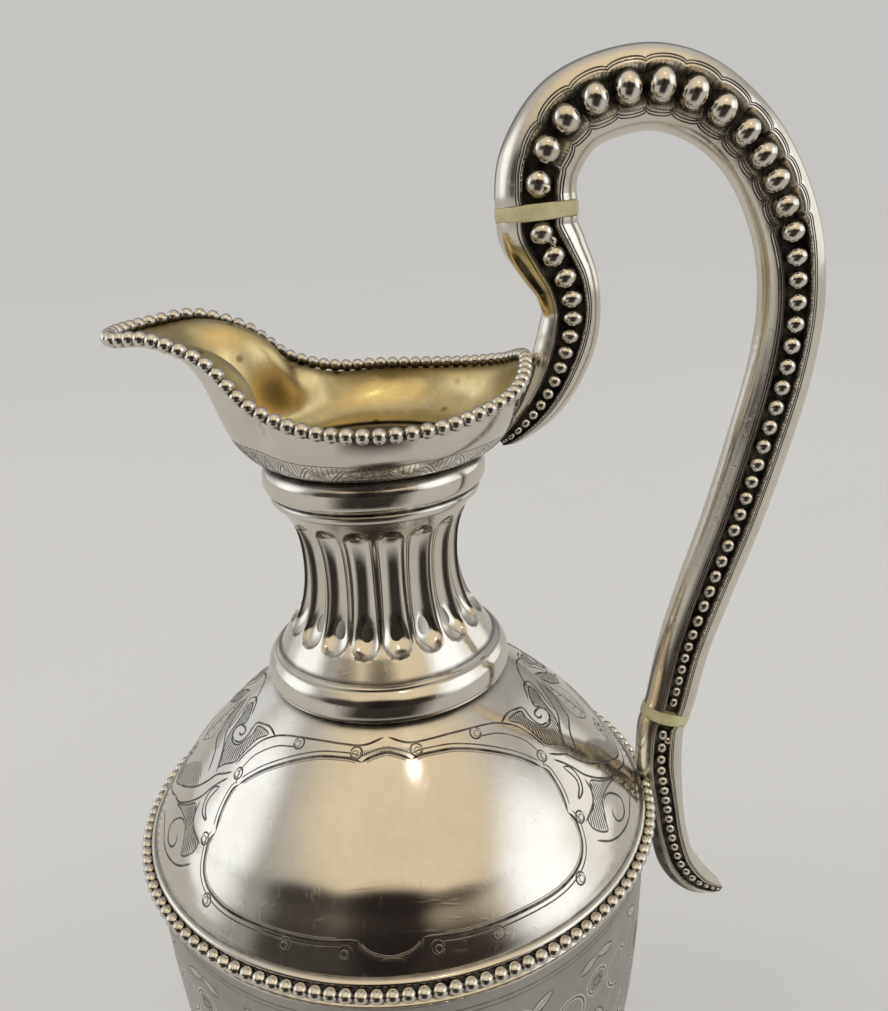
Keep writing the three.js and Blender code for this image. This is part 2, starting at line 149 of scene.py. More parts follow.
def grid_faces(rows, cols, wrap_rows=False, wrap_cols=True):
    i = np.arange(rows if wrap_rows else rows - 1)
    j = np.arange(cols if wrap_cols else cols - 1)
    i, j = np.meshgrid(i, j, indexing="ij")
    i2, j2 = (i + 1) % rows, (j + 1) % cols
    quads = np.stack([i * cols + j, i * cols + j2, i2 * cols + j2, i2 * cols + j], -1)
    return quads.reshape(-1, 4)


def inside_out(points, quads):
    """Whether the quads of a closed shape enclose a negative volume."""
    a, b, c, d = (points[quads[:, k]] for k in range(4))
    volume = np.einsum("ij,ij->i", a, np.cross(b, c)) + np.einsum("ij,ij->i", a, np.cross(c, d))
    return volume.sum() < 0


def make(name, points, quads, material, oxide_and_shade, nodes=(), sharp=38, weld=False, caps=(),
         flip=None):
    """One piece of the jug. Edges over the angle sharp are creased, or none if it is None."""
    points = np.clip(np.asarray(points, float).reshape(-1, 3), LOW, HIGH)
    if flip is None:
        flip = inside_out(points - points.mean(0), quads)
    faces = quads.tolist() + list(caps)
    if flip:
        faces = [face[::-1] for face in faces]
    mesh = bpy.data.meshes.new(name)
    mesh.from_pydata((points / 1000).tolist(), [], faces)
    shade = mesh.attributes.new("oxide_and_shade", "FLOAT", "POINT")
    shade.data.foreach_set("value", np.ravel(oxide_and_shade).astype(np.float32))
    piece = bpy.data.objects.new(name, mesh)
    bpy.context.scene.collection.objects.link(piece)
    if weld:
        work = bmesh.new()
        work.from_mesh(mesh)
        bmesh.ops.remove_doubles(work, verts=work.verts, dist=1e-6)
        work.to_mesh(mesh)
        work.free()
    mesh.validate()
    mesh.shade_smooth()
    if sharp is not None:
        mesh.set_sharp_from_angle(angle=math.radians(sharp))
    mesh.materials.append(material)
    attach(piece, "root")
    if nodes:
        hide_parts(*nodes)


def turned(name, outline, node, turns=256, height=0.0, sharp=38, material=None):
    """Turns a closed outline of [radius, height, oxide and shade] points round the Z axis."""
    outline = np.asarray(outline, float)
    points = polar(outline[None, :, 0], full_turn(turns)[:, None], outline[None, :, 1] + height)
    make(name, points, grid_faces(turns, len(outline), True, True), material or POLISHED,
         np.tile(outline[:, 2], turns), [node], sharp, weld=bool((outline[:, 0] == 0).any()))


def tinted(points, oxide_and_shade=0.0):
    """Outline points with their oxide and shade."""
    points = np.asarray(points, float)
    return np.column_stack([points, np.broadcast_to(oxide_and_shade, len(points))])


def bead_template(around, rows):
    """Unit bead, whose rows run from pole to pole along the string of beads."""
    lat = np.linspace(0, math.pi, rows)[:, None]
    lon = full_turn(around)[None, :]
    along, across, up = np.cos(lat) + 0 * lon, np.sin(lat) * np.cos(lon), np.sin(lat) * np.sin(lon)
    return np.stack([along, across, up], -1).reshape(-1, 3), grid_faces(rows, around)


WIRE_SIDES = 8


def wire(ring, radius):
    """Tube round a closed ring: the wire that joins a string of beads."""
    tangent = unit(np.roll(ring, -1, 0) - np.roll(ring, 1, 0))
    side = unit(np.cross(tangent, [0, 0, 1.0]))
    top = np.cross(side, tangent)
    angle = full_turn(WIRE_SIDES)[None, :, None]
    return ring[:, None] + radius * (np.cos(angle) * side[:, None] + np.sin(angle) * top[:, None])


def beads(name, centres, along, up, half, node, around=20, rows=13, core=None):
    """A string of beads. half holds each bead's half sizes along, across and up."""
    shape, quads = bead_template(around, rows)
    along, up = unit(along), unit(up)
    across = unit(np.cross(up, along))
    up = np.cross(along, across)
    half = np.broadcast_to(np.asarray(half, float), (len(centres), 3))
    local = shape[None] * half[:, None, :]
    points = (
        centres[:, None]
        + local[..., :1] * along[:, None]
        + local[..., 1:2] * across[:, None]
        + local[..., 2:] * up[:, None]
    )
    dark = smoothstep(np.abs(shape[:, 0]), 0.90, 1.0) + smoothstep(-shape[:, 2], 0.35, 0.9)
    oxide_and_shade = np.tile(np.clip(dark, 0, 1), len(centres))
    offsets = np.arange(len(centres))[:, None, None] * len(shape)
    faces = (quads[None] + offsets).reshape(-1, 4)
    points = points.reshape(-1, 3)
    if core is not None:
        ring, radius = core
        faces = np.vstack([faces, grid_faces(len(ring), WIRE_SIDES, True) + len(points)])
        points = np.vstack([points, wire(ring, radius).reshape(-1, 3)])
        oxide_and_shade = np.r_[oxide_and_shade, np.ones(len(ring) * WIRE_SIDES)]
    make(name, points, faces, BEADS, oxide_and_shade, [node], sharp=80)


# ------------------------------------------------------------------ materials


class Nodes:
    """Short hand for building a node tree."""

    def __init__(self, tree, coordinates="Object"):
        self.tree = tree
        self.place = self.new("ShaderNodeTexCoord").outputs[coordinates]

    def put(self, value, socket):
        """Links another node's output to the socket, or sets the socket's own value."""
        if isinstance(value, bpy.types.NodeSocket):
            self.tree.links.new(value, socket)
        else:
            socket.default_value = value

    def new(self, kind, inputs=(), **settings):
        """Adds a node. inputs maps sockets' names or numbers to what is put in them."""
        node = self.tree.nodes.new(kind)
        for key, value in settings.items():
            setattr(node, key, value)
        for key, value in dict(inputs).items():
            self.put(value, node.inputs[key])
        return node

    def stretched(self, scale, turn=(0, 0, 0)):
        inputs = {"Scale": scale, "Rotation": turn, "Vector": self.place}
        return self.new("ShaderNodeMapping", inputs).outputs["Vector"]

    def noise(self, scale, detail=3.0, rough=0.55, where=None, distortion=0.0):
        inputs = {"Scale": scale, "Detail": detail, "Roughness": rough, "Distortion": distortion,
                  "Vector": self.place if where is None else where}
        return self.new("ShaderNodeTexNoise", inputs).outputs["Fac"]

    def cells(self, scale):
        inputs = {"Scale": scale, "Vector": self.place}
        return self.new("ShaderNodeTexVoronoi", inputs).outputs["Distance"]

    def oxide_and_shade(self):
        return self.new("ShaderNodeAttribute", attribute_name="oxide_and_shade").outputs["Fac"]

    def axes(self):
        return self.new("ShaderNodeSeparateXYZ", {0: self.place}).outputs

    def span(self, value, low, high, start=0.0, stop=1.0, shape="LINEAR"):
        """Maps low..high to start..stop."""
        inputs = {"Value": value, "From Min": low, "From Max": high, "To Min": start,
                  "To Max": stop}
        return self.new("ShaderNodeMapRange", inputs, interpolation_type=shape).outputs["Result"]

    def calc(self, operation, a, b):
        return self.new("ShaderNodeMath", {0: a, 1: b}, operation=operation).outputs["Value"]

    def add(self, a, b):
        return self.calc("ADD", a, b)

    def times(self, a, b):
        return self.calc("MULTIPLY", a, b)

    def mix(self, factor, a, b):
        node = self.new("ShaderNodeMix", {"Factor": factor}, data_type="RGBA")
        for key, value in (("A", a), ("B", b)):
            socket = next(s for s in node.inputs if s.name == key and s.type == "RGBA")
            self.put((*value, 1) if isinstance(value, tuple) else value, socket)
        return next(s for s in node.outputs if s.type == "RGBA")

    def bump(self, height, strength, distance, before=None):
        inputs = {"Strength": strength, "Distance": distance, "Height": height}
        if before is not None:
            inputs["Normal"] = before
        return self.new("ShaderNodeBump", inputs).outputs["Normal"]


class Surface(Nodes):
    """A material and its shader."""

    def __init__(self, name):
        self.material = bpy.data.materials.new(name)
        self.material.use_nodes = True
        super().__init__(self.material.node_tree)

    def shade(self, colour, roughness, **rest):
        """Fills the shader's sockets; an underscore in a name stands for a space."""
        shader = self.tree.nodes["Principled BSDF"]
        for key, value in {"Base_Color": colour, "Roughness": roughness, **rest}.items():
            self.put(value, shader.inputs[key.replace("_", " ")])
        return self.material


# Black that oxide and painted shade darken the silver to.
SHADE_AND_OXIDE_BLACK = (0.018, 0.015, 0.012)


def silver(name, tone, tarnish, roughness, scratch=0.12, grain=0.0):
    """Silver with uneven tarnish, hairline scratches, and black where the piece says so:
    oxide, and painted shade in a few places.
    """
    n = Surface(name)
    cloud = n.noise(38, 5, 0.6)
    fine = n.noise(260, 4, 0.65)
    patch = n.span(n.add(cloud, n.times(fine, 0.35)), 0.52, 0.86)
    base = n.mix(n.times(patch, 0.5), tone, tarnish)
    uneven = n.span(fine, 0.25, 0.75, 0.72, 1.12)
    dark = n.calc("MINIMUM", n.times(n.oxide_and_shade(), uneven), 1.0)
    speck = n.times(n.span(n.cells(420), 0.0, 0.09, 0.55, 0.0), n.span(n.noise(90, 2), 0.56, 0.66))
    dark = n.calc("MAXIMUM", dark, speck)
    rough = n.span(cloud, 0.3, 0.75, roughness * 0.75, roughness * 1.35)
    rough = n.add(rough, n.times(dark, 0.28))
    lines_a = n.noise(700, 2, 0.5, n.stretched((1, 0.06, 0.5), (0.3, 0.2, 0.6)))
    lines_b = n.noise(620, 2, 0.5, n.stretched((0.07, 1, 0.8), (0.1, 0.7, -0.4)))
    scratches = n.add(n.span(lines_a, 0.62, 0.72), n.span(lines_b, 0.63, 0.73))
    normal = n.bump(scratches, scratch, 0.00005)
    if grain:
        pits = n.add(n.cells(2600), n.times(n.noise(4200, 2), 0.8))
        normal = n.bump(pits, grain, 0.0001, normal)
    dents = n.noise(30, 1, 0.4)
    return n.shade(n.mix(dark, base, SHADE_AND_OXIDE_BLACK), n.add(rough, n.times(scratches, 0.07)),
                   Metallic=1.0, Normal=n.bump(dents, 0.25, 0.0006, normal))


def gilding(name):
    """Old gilding: olive gold, worn in clouds, with brown tarnish spots."""
    n = Surface(name)
    cloud = n.noise(55, 5, 0.62, distortion=0.6)
    fine = n.noise(340, 4, 0.6)
    base = n.mix(n.span(cloud, 0.38, 0.62), (0.86, 0.70, 0.34), (0.64, 0.52, 0.25))
    pale = n.span(n.noise(120, 4, 0.6), 0.58, 0.72, 0.0, 0.45)
    base = n.mix(pale, base, (0.90, 0.83, 0.62))
    spots = n.times(n.span(n.cells(150), 0.05, 0.20, 1.0, 0.0), n.span(n.noise(48, 3), 0.45, 0.58))
    spots = n.times(spots, n.span(fine, 0.3, 0.6, 0.4, 1.0))
    dark = n.calc("MINIMUM", n.add(spots, n.oxide_and_shade()), 1.0)
    rough = n.add(n.span(cloud, 0.3, 0.7, 0.24, 0.36), n.times(dark, 0.3))
    lines = n.span(n.noise(640, 2, 0.5, n.stretched((1, 0.08, 0.6), (0.4, 0.1, 0.9))), 0.6, 0.7)
    return n.shade(n.mix(dark, base, (0.07, 0.05, 0.03)), rough, Metallic=1.0,
                   Normal=n.bump(n.add(lines, n.times(dark, -1.0)), 0.18, 0.00006))


def bone(name):
    """Old bone: cream with grain along the disc and yellow green staining."""
    n = Surface(name)
    grain = n.noise(900, 4, 0.6, n.stretched((1, 0.1, 1), (0, 0.1, 0)))
    cloud = n.noise(180, 4, 0.6)
    base = n.mix(n.span(cloud, 0.35, 0.7), (0.64, 0.60, 0.36), (0.48, 0.43, 0.20))
    base = n.mix(n.span(grain, 0.55, 0.75, 0.0, 0.55), base, (0.42, 0.34, 0.18))
    return n.shade(n.mix(n.oxide_and_shade(), base, (0.14, 0.10, 0.05)), n.span(grain, 0.3, 0.7, 0.22, 0.40),
                   Subsurface_Weight=0.12, Subsurface_Radius=(0.0015, 0.001, 0.0006),
                   Normal=n.bump(grain, 0.25, 0.0001))


POLISHED = silver("polished_silver", (0.80, 0.765, 0.70), (0.63, 0.57, 0.48), 0.13)
HANDLE = silver("handle_silver", (0.82, 0.78, 0.70), (0.62, 0.56, 0.46), 0.17, scratch=0.2)
BEADS = silver("bead_silver", (0.80, 0.76, 0.69), (0.58, 0.52, 0.43), 0.16)
FROSTED = silver("frosted_silver", (0.50, 0.485, 0.46), (0.34, 0.325, 0.30), 0.36, scratch=0.15,
                 grain=0.35)
ENGRAVED = silver("cut_silver", (0.80, 0.76, 0.70), (0.60, 0.55, 0.46), 0.2)
GILT = gilding("worn_gilding")
BONE = bone("stained_bone")

# ------------------------------------------------------------------ foot, stem and body

WALL = 1.3
BODY_LINE = spline([
    [62.4, -4.8], [62.4, -14], [62.1, -25], [61, -42], [59.3, -57], [56.6, -72], [52.4, -87],
    [46.6, -100], [40, -110], [32.4, -118], [25, -123.4], [17, -128],
], 14)
BODY_FLOOR_Z = BODY_LINE[-1, 1]


def inset(line, depth):
    tangent = unit(np.gradient(line, axis=0))
    return line + depth * np.column_stack([tangent[:, 1], -tangent[:, 0]])


def dark_foot_of(line, reach):
    """Oxide that gathers in the last stretch of a line."""
    run = lengths(line)
    return np.clip(1 - (run[-1] - run) / reach, 0, 1) ** 1.5


body_inside = inset(BODY_LINE, WALL)[::-1]
body_inside[-1, 1] = BODY_LINE[0, 1]
turned("ovoid_body", np.vstack([
    tinted(BODY_LINE, 0.55 * dark_foot_of(BODY_LINE, 5)),
    [[0, BODY_FLOOR_Z, 0], [0, BODY_FLOOR_Z + WALL, 0]],
    tinted(body_inside),
]), "body", turns=320, height=BORDER_Z, material=FROSTED)

cove = spline([[15.4, 15.8], [17.5, 13.6], [22, 10.6], [30, 8.2], [38, 6.9], [41.6, 6.5]])
turned("spreading_foot", np.vstack([
    [[13.5, 16.4, 0.9], [15.2, 16.3, 0.7]], tinted(cove),
    [[42.1, 6.6, 0.0], [42.7, 6.3, 0.1], [42.6, 5.6, 1.0], [42.6, 2.3, 1.0], [46.4, 2.3, 0.6]],
    [[46.8, 2.2, 0.1], [47.2, 1.7, 0], [47.2, 0.2, 0], [47.0, 0, 0.1], [41, 0, 0.2]],
    [[41, 2.4, 0.3], [37.8, 5.2, 0.2], [29.6, 6.6, 0.2], [21, 9.1, 0.2], [15.6, 12.4, 0.2]],
    [[12, 16.4, 0.5]],
]), "foot")
stem = spline([
    [14.2, 16.9], [16.9, 17.5], [18.2, 18.6], [18.3, 19.6], [17.6, 20.9], [16.3, 21.6],
], 8)
turned("stem_torus", np.vstack([
    [[13.5, 16.4, 1]], tinted(stem), [[15.8, 22, 1], [9, 22, 0], [9, 16.4, 0]],
]), "stem_ring", turns=192)
base_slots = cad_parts["base_plate"].data.materials
base_slots.clear()
base_slots.append(POLISHED)

# ------------------------------------------------------------------ shoulder

turned("shoulder_band_mouldings", [
    [59.4, -4.9, 0.3], [62.5, -5.0, 0.9], [62.9, -4.8, 0.1], [63.25, -4.45, 0], [63.2, -4.1, 0.1],
    [62.95, -3.95, 0.9], [63.1, -3.8, 0.1], [63.2, -3.5, 0], [62.9, -3.2, 0.1], [62.5, -2.9, 0.8],
    [62.2, -2.6, 1], [62.2, 0.8, 1], [59.4, 0.8, 0.3],
], "shoulder_band", turns=360, height=BORDER_Z, sharp=30)

BELL = spline([
    [60.6, 4.2], [58.2, 8], [55.4, 12], [52.6, 16], [45, 24], [36, 32], [26.5, 39.2],
], 20)
bell_even = evenly(BELL, 1.0)
bell_inside = spline([
    [59.3, 3.4], [56.9, 7.5], [51.5, 15.2], [44, 23.1], [35.2, 31], [26.5, 37.6],
], 6)
turned("domed_shoulder", np.vstack([
    [[62.3, 0.8, 0.6], [62.8, 1.0, 0.2], [62.95, 1.4, 0], [62.8, 1.8, 0], [62.35, 2.1, 0.05]],
    # Painted shade: the groove at the dome's foot is darkened.
    [[61.95, 2.15, 0.5], [61.7, 2.25, 0.9], [61.5, 2.55, 0.3], [61.1, 3.3, 0]],
    # Oxide and painted shade: the dome darkens to black at its top, where it meets the collar.
    tinted(bell_even, 0.92 * smoothstep(bell_even[:, 1], 37.0, 38.4)),
    tinted(bell_inside[::-1]), [[59.3, 0.8, 0]],
]), "shoulder_dome", turns=400, height=BORDER_Z)


def ring_of_beads(name, radius, height, node, pitch):
    count = int(round(2 * math.pi * radius / pitch))
    angle = full_turn(count)
    out = polar(1, angle, 0)
    centres = polar(radius, angle, height)
    half = [0.503 * 2 * math.pi * radius / count, BEAD_R, BEAD_R]
    beads(name, centres, np.cross([0, 0, 1], out), out, half, node, core=(centres, BEAD_R / 2))


ring_of_beads("shoulder_beads", BORDER_R, BORDER_Z, "shoulder_bead_border", 3.14)
ring_of_beads("foot_beads", FOOT_BEAD_R, FOOT_BEAD_Z, "foot_bead_border", 3.15)

# ------------------------------------------------------------------ neck

collar = spline([[26.9, 39.0], [28.4, 39.1], [29.3, 40.2], [29.4, 42], [28.8, 44.4], [27.7, 46.1]])
turned("neck_collar_torus", np.vstack([
    # Oxide and painted shade: the collar is black at its foot, where it meets the dome.
    [[26.2, 38.9, 1], [26.7, 38.9, 1]],
    tinted(collar, 0.95 * smoothstep(-collar[:, 1], -40.1, -39.2)),
    [[27.2, 46.4, 0.3], [27.1, 46.8, 0.1], [26.7, 47.1, 0], [26.3, 47.3, 0.1], [26.0, 47.4, 0.3]],
    [[22.6, 47.5, 0.2], [22.6, 39.0, 0.2]],
]), "neck_collar", height=BORDER_Z)

NECK_LINE = spline([
    [26, 47.3], [23.2, 51.8], [20.6, 56], [18.9, 62], [18.4, 69], [19.2, 76], [21.2, 81],
    [22.9, 84.1],
], 40)
NECK_INSIDE = np.array([[20.2, 83.9], [15.8, 74], [16, 62], [22.6, 47.4]])
FLUTES = 18
FLUTE_HALF = 0.466  # half width of a flute over the flutes' pitch
FLUTE_DEPTH = 2.1
FLUTE_FOOT, FLUTE_HEAD = 51.6, 81.2


def fluted_neck():
    """Round-ended hollows between narrow ridges; turn counts flutes."""
    line = evenly(NECK_LINE, 0.24)
    ridge = 0.484
    hollow = FLUTE_HALF * np.sin(np.linspace(-math.pi / 2, math.pi / 2, 21))
    across = np.r_[-0.5, -ridge, hollow, ridge]
    turn = (np.arange(FLUTES)[:, None] + across[None]).ravel()
    r, z = line[:, :1], line[:, 1:]
    pitch = 2 * math.pi * r / FLUTES
    half = FLUTE_HALF * pitch
    below = np.maximum(0, (FLUTE_FOOT + half) - z)
    above = np.maximum(0, z - (FLUTE_HEAD - half))
    reach = np.hypot(np.tile(across, FLUTES)[None] * pitch, np.maximum(below, above)) / half
    depth = FLUTE_DEPTH * np.sqrt(np.clip(1 - reach**2, 0, 1))
    oxide_and_shade = 0.45 * np.exp(-((reach - 0.97) / 0.05) ** 2) * (reach < 1.04)
    oxide_and_shade = np.maximum(oxide_and_shade, 0.9 * smoothstep(z, 82.9, 84.1))
    oxide_and_shade = np.maximum(oxide_and_shade, 0.9 * smoothstep(-z, -48.4, -47.3))
    angle = (turn * 2 * math.pi / FLUTES)[None]
    inside = polar(NECK_INSIDE[:, :1], angle, NECK_INSIDE[:, 1:] + BORDER_Z)
    points = np.vstack([polar(r - depth, angle, z + BORDER_Z), inside])
    oxide_and_shade = np.vstack([oxide_and_shade, np.full(inside.shape[:2], 0.3)])
    quads = grid_faces(*points.shape[:2], True, True)
    make("fluted_neck", points, quads, POLISHED, oxide_and_shade, ["neck"], sharp=34)


fluted_neck()

ovolo = spline([
    [24.5, 86.6], [25.3, 87.6], [25.6, 89.2], [25.5, 91], [24.9, 92.3], [24.2, 93.0],
], 8)
turned("neck_top_mouldings", np.vstack([
    [[22.5, 83.8, 1], [23.1, 83.9, 0.2], [23.9, 84.2, 0], [24.2, 84.9, 0], [24.15, 85.5, 0.1]],
    [[23.8, 85.9, 1], [23.8, 86.3, 1]], tinted(ovolo, 0.9 * smoothstep(ovolo[:, 1], 91.6, 92.8)),
    [[23.6, 93.4, 1], [23.2, 93.9, 1], [20.4, 93.9, 0.3], [20.4, 84.1, 0.3]],
]), "neck_top_ring", height=BORDER_Z)

# ------------------------------------------------------------------ mouth, spout and rim beads

RIM_SIDE = np.array([
    [-54.2, 0, 123.3], [-50.9, 12.1, 123.4], [-40.9, 19.6, 123.9], [-30, 23.6, 119.5],
    [-21.3, 28.4, 111.5], [-10.6, 33.6, 107.4], [1.4, 37.5, 106.6], [13.7, 35.2, 106.5],
    [23.9, 27.9, 107.5], [31.6, 18, 109.5], [35.4, 0, 113],
])
RIM = spline(np.vstack([RIM_SIDE, (RIM_SIDE * [1, -1, 1])[-2:0:-1]]), 60, closed=True)
RIM = np.vstack([RIM, RIM[:1]]) + [0, 0, BORDER_Z]
RIM_LENGTH = lengths(RIM)[-1]
RIM_PITCH = 3.107
RIM_BEAD_R = 1.62
MOUTH_FOOT_R, MOUTH_FOOT_Z = 23.4, 93.6
MOUTH_TURNS = 344


def rim_at(turn):
    return at_lengths(RIM, (turn % 1) * RIM_LENGTH)


def mouth_point(turn, rise):
    """Outer skin of the bowl and spout; turn runs round the rim and rise climbs to it."""
    tip = np.minimum(turn % 1, 1 - turn % 1)
    spout = 1 - smoothstep(tip, 0.09, 0.24)
    shelf = 1 - smoothstep(tip, 0.15, 0.36)
    edge = rim_at(turn)
    edge[..., 2] -= 0.9 + 0.75 * shelf
    out = unit(edge * [1, 1, 0])
    foot = out * MOUTH_FOOT_R + [0, 0, BORDER_Z + MOUTH_FOOT_Z]
    swell = foot + out * (9 + 7.2 * spout)[..., None]
    swell[..., 2] += 1.5 + 2.9 * spout
    throat = edge - out * (1.2 + 24.8 * spout)[..., None]
    throat[..., 2] -= 6.5 - 6.9 * spout
    t = np.asarray(rise, float)[..., None]
    return ((1 - t) ** 3 * foot + 3 * (1 - t) ** 2 * t * swell + 3 * (1 - t) * t**2 * throat
            + t**3 * edge)


def mouth_skin(turn, rise):
    """Point and inward direction on the bowl."""
    step = 1e-3
    above, below = np.minimum(rise + step, 1), np.maximum(rise - step, 0)
    up = mouth_point(turn, above) - mouth_point(turn, below)
    ahead = mouth_point(turn + step, rise) - mouth_point(turn - step, rise)
    return mouth_point(turn, rise), unit(np.cross(ahead, up))


def mouth_sheet(name, depths, rises, oxide_and_shade, material, node):
    """Sheet metal between two depths under the bowl's outer skin."""
    turn = np.linspace(0, 1, MOUTH_TURNS, endpoint=False)[:, None] + 0 * rises[None]
    rise = rises[None] + 0 * turn
    here, inward = mouth_skin(turn, rise)
    outer = here + inward * depths[0]
    inner = (here + inward * depths[1])[:, ::-1]
    points = np.concatenate([outer, inner], axis=1)
    make(name, points, grid_faces(*points.shape[:2], True, True), material,
         np.tile(oxide_and_shade, MOUTH_TURNS), [node], sharp=50)


RISES = np.r_[0, np.linspace(0.012, 0.97, 62), 0.985, 1]
mouth_sheet("mouth_bowl_sheet", (0, 0.55), RISES,
            np.r_[0.95 * (1 - smoothstep(RISES, 0.03, 0.075)), np.full(len(RISES), 0.2)],
            POLISHED, "mouth_bowl")
rises = RISES[:-1]
foot_and_edge = 0.9 * (1 - smoothstep(rises, 0, 0.05)) + 0.75 * smoothstep(rises, 0.86, 0.985)
mouth_sheet("gilt_lining_sheet", (0.4, 0.75), rises, np.r_[foot_and_edge, foot_and_edge[::-1]],
            GILT, "gilt_lining")

rim_count = int(round(RIM_LENGTH / RIM_PITCH))
rim_turn = (np.arange(rim_count) + 0.5) / rim_count
rim_centres = rim_at(rim_turn)
rim_along = rim_at(rim_turn + 1e-3) - rim_at(rim_turn - 1e-3)
rim_up = unit(rim_centres * [1, 1, 0]) + [0, 0, 0.9]
rim_wire = rim_at(np.linspace(0, 1, rim_count * 2, endpoint=False)) - [0, 0, 0.35]
beads("rim_beads", rim_centres, rim_along, rim_up,
      [0.5 * RIM_LENGTH / rim_count, RIM_BEAD_R, RIM_BEAD_R], "rim_bead_wire", core=(rim_wire, 0.8))

# ------------------------------------------------------------------ handle

# Centre line and width of each casting: [x, height above the border, width].
UPPER_SOCKET = [
    [29.5, 93.6, 1.8], [31.5, 94.9, 4.2], [34.8, 98, 7.2], [38.3, 102.2, 10], [41.3, 107.3, 11.8],
    [43.4, 112.5, 13], [44.8, 117, 13.4], [45.6, 122.5, 12.9], [44.5, 128.5, 14],
    [41.4, 134.6, 16], [38.72, 139.9, 17.2], [38.6, 141.9, 17.3],
]
ARM = [
    [38.4, 145.2, 17.3], [38.28, 147.2, 17.2], [39.3, 153.2, 17.1], [45.8, 162.1, 16.9],
    [59.4, 166.3, 16.5], [69.1, 164.7, 16], [78.6, 158.8, 14.8], [85.9, 150.1, 14.2],
    [92.1, 135.7, 14.4], [93.9, 121.5, 14.5], [92.5, 107, 14.6], [88.5, 89.7, 14.6],
    [83.7, 72.1, 14.2], [78.3, 55.3, 13.8], [73.3, 38.4, 12.9], [70.37, 23.2, 12.4],
    [69.8, 21.3, 12.3],
]
LOWER_SOCKET = [
    [68.9, 18.3, 12.2], [68.33, 16.4, 12.1], [68, 11, 11.9], [68, 5, 12], [69, -2, 10.8],
    [70.2, -9, 9.4], [71.3, -16, 10], [73.9, -25.5, 11.2], [76.9, -30.6, 10.8], [80.1, -34, 9.2],
    [83.6, -36.5, 5.8], [86.4, -38.2, 1.8],
]
THICKNESS_RATIO = 0.72  # thickness of the handle over its width
FLOOR_SHARE = 0.60  # height of the channel's floor over the handle's half thickness
SEAM = 0.05  # half the gap between the left and right castings
STATION = 0.2
MILL_PITCH = 0.85
SCALLOPS = (0.045, 0.405)  # share of the arm's length where the channel's edge is scalloped
# A line cut beside the channel, as its lips and its floor: place over the half width, cut or not,
# oxide.
CUT_LINE = ((0.024, 0, 0.05), (0.010, 1, 0.95), (-0.010, 1, 0.95), (-0.024, 0, 0.05))

# Beads of each casting: room before the first and after the last, how many, and tables of their
# spacing and half width against the share of the casting's length.
BEAD_ROWS = {
    "upper_socket": (
        0.9, 2.7, 16,
        [[0, 1.8], [0.1, 2.5], [0.25, 3.1], [0.45, 3.6], [0.6, 4.2], [0.75, 5.2], [1, 5.7]],
        [[0, 0.3], [0.15, 1.1], [0.5, 2], [0.75, 2.6], [1, 2.7]],
    ),
    "arm": (
        3.8, 3.0, 41,
        [[0, 6.8], [0.26, 6.8], [0.29, 5.9], [0.39, 5.6], [0.44, 4.75], [0.62, 4.6], [0.68, 4.1],
         [0.86, 4.1], [0.9, 3.25], [1, 3.2]],
        [[0, 2.7], [0.06, 3.1], [0.2, 3.6], [0.38, 2.8], [0.45, 2.2], [0.8, 1.6], [1, 1.1]],
    ),
    "lower_socket": (
        3.6, 1.2, 20,
        [[0, 3.9], [0.15, 3.3], [0.3, 3.1], [0.8, 2.9], [0.9, 2.2], [1, 1.2]],
        [[0, 1.2], [0.3, 1.4], [0.8, 1.1], [1, 0.3]],
    ),
}


def table(rows, at):
    rows = np.asarray(rows, float)
    return np.interp(at, rows[:, 0], rows[:, 1])


def cast_line(points):
    """Dense centre line: x, height, width, with the width eased between the given points."""
    points = np.asarray(points, float)
    curve = spline(points[:, :2], 60)
    knots = np.linspace(0, len(points) - 1, len(curve))
    width = np.interp(knots, np.arange(len(points)), points[:, 2])
    window = np.hanning(47)
    width = np.convolve(np.pad(width, 23, mode="edge"), window / window.sum(), mode="valid")
    return np.column_stack([curve[:, 0], curve[:, 1] + BORDER_Z, width])


def cast_frames(line, where):
    """Centre, travel and outward directions (x, z) and width at lengths along a casting."""
    here = at_lengths(line, where, 2)
    step = 0.05
    total = lengths(line[:, :2])[-1]
    ahead = at_lengths(line, np.minimum(where + step, total), 2)[:, :2]
    behind = at_lengths(line, np.maximum(where - step, 0), 2)[:, :2]
    travel = unit(ahead - behind)
    outward = np.column_stack([-travel[:, 1], travel[:, 0]])
    return here[:, :2], travel, outward, here[:, 2]


def bead_places(kind, total):
    """Lengths along the casting of its beads, with their spacing and half width there."""
    first, last, count, pitches, halves = BEAD_ROWS[kind]
    places = [first]
    while len(places) < count:
        places.append(places[-1] + float(table(pitches, places[-1] / total)))
    places = np.array(places)
    places = first + (places - first) * (total - last - first) / (places[-1] - first)
    return places, table(pitches, places / total), table(halves, places / total)


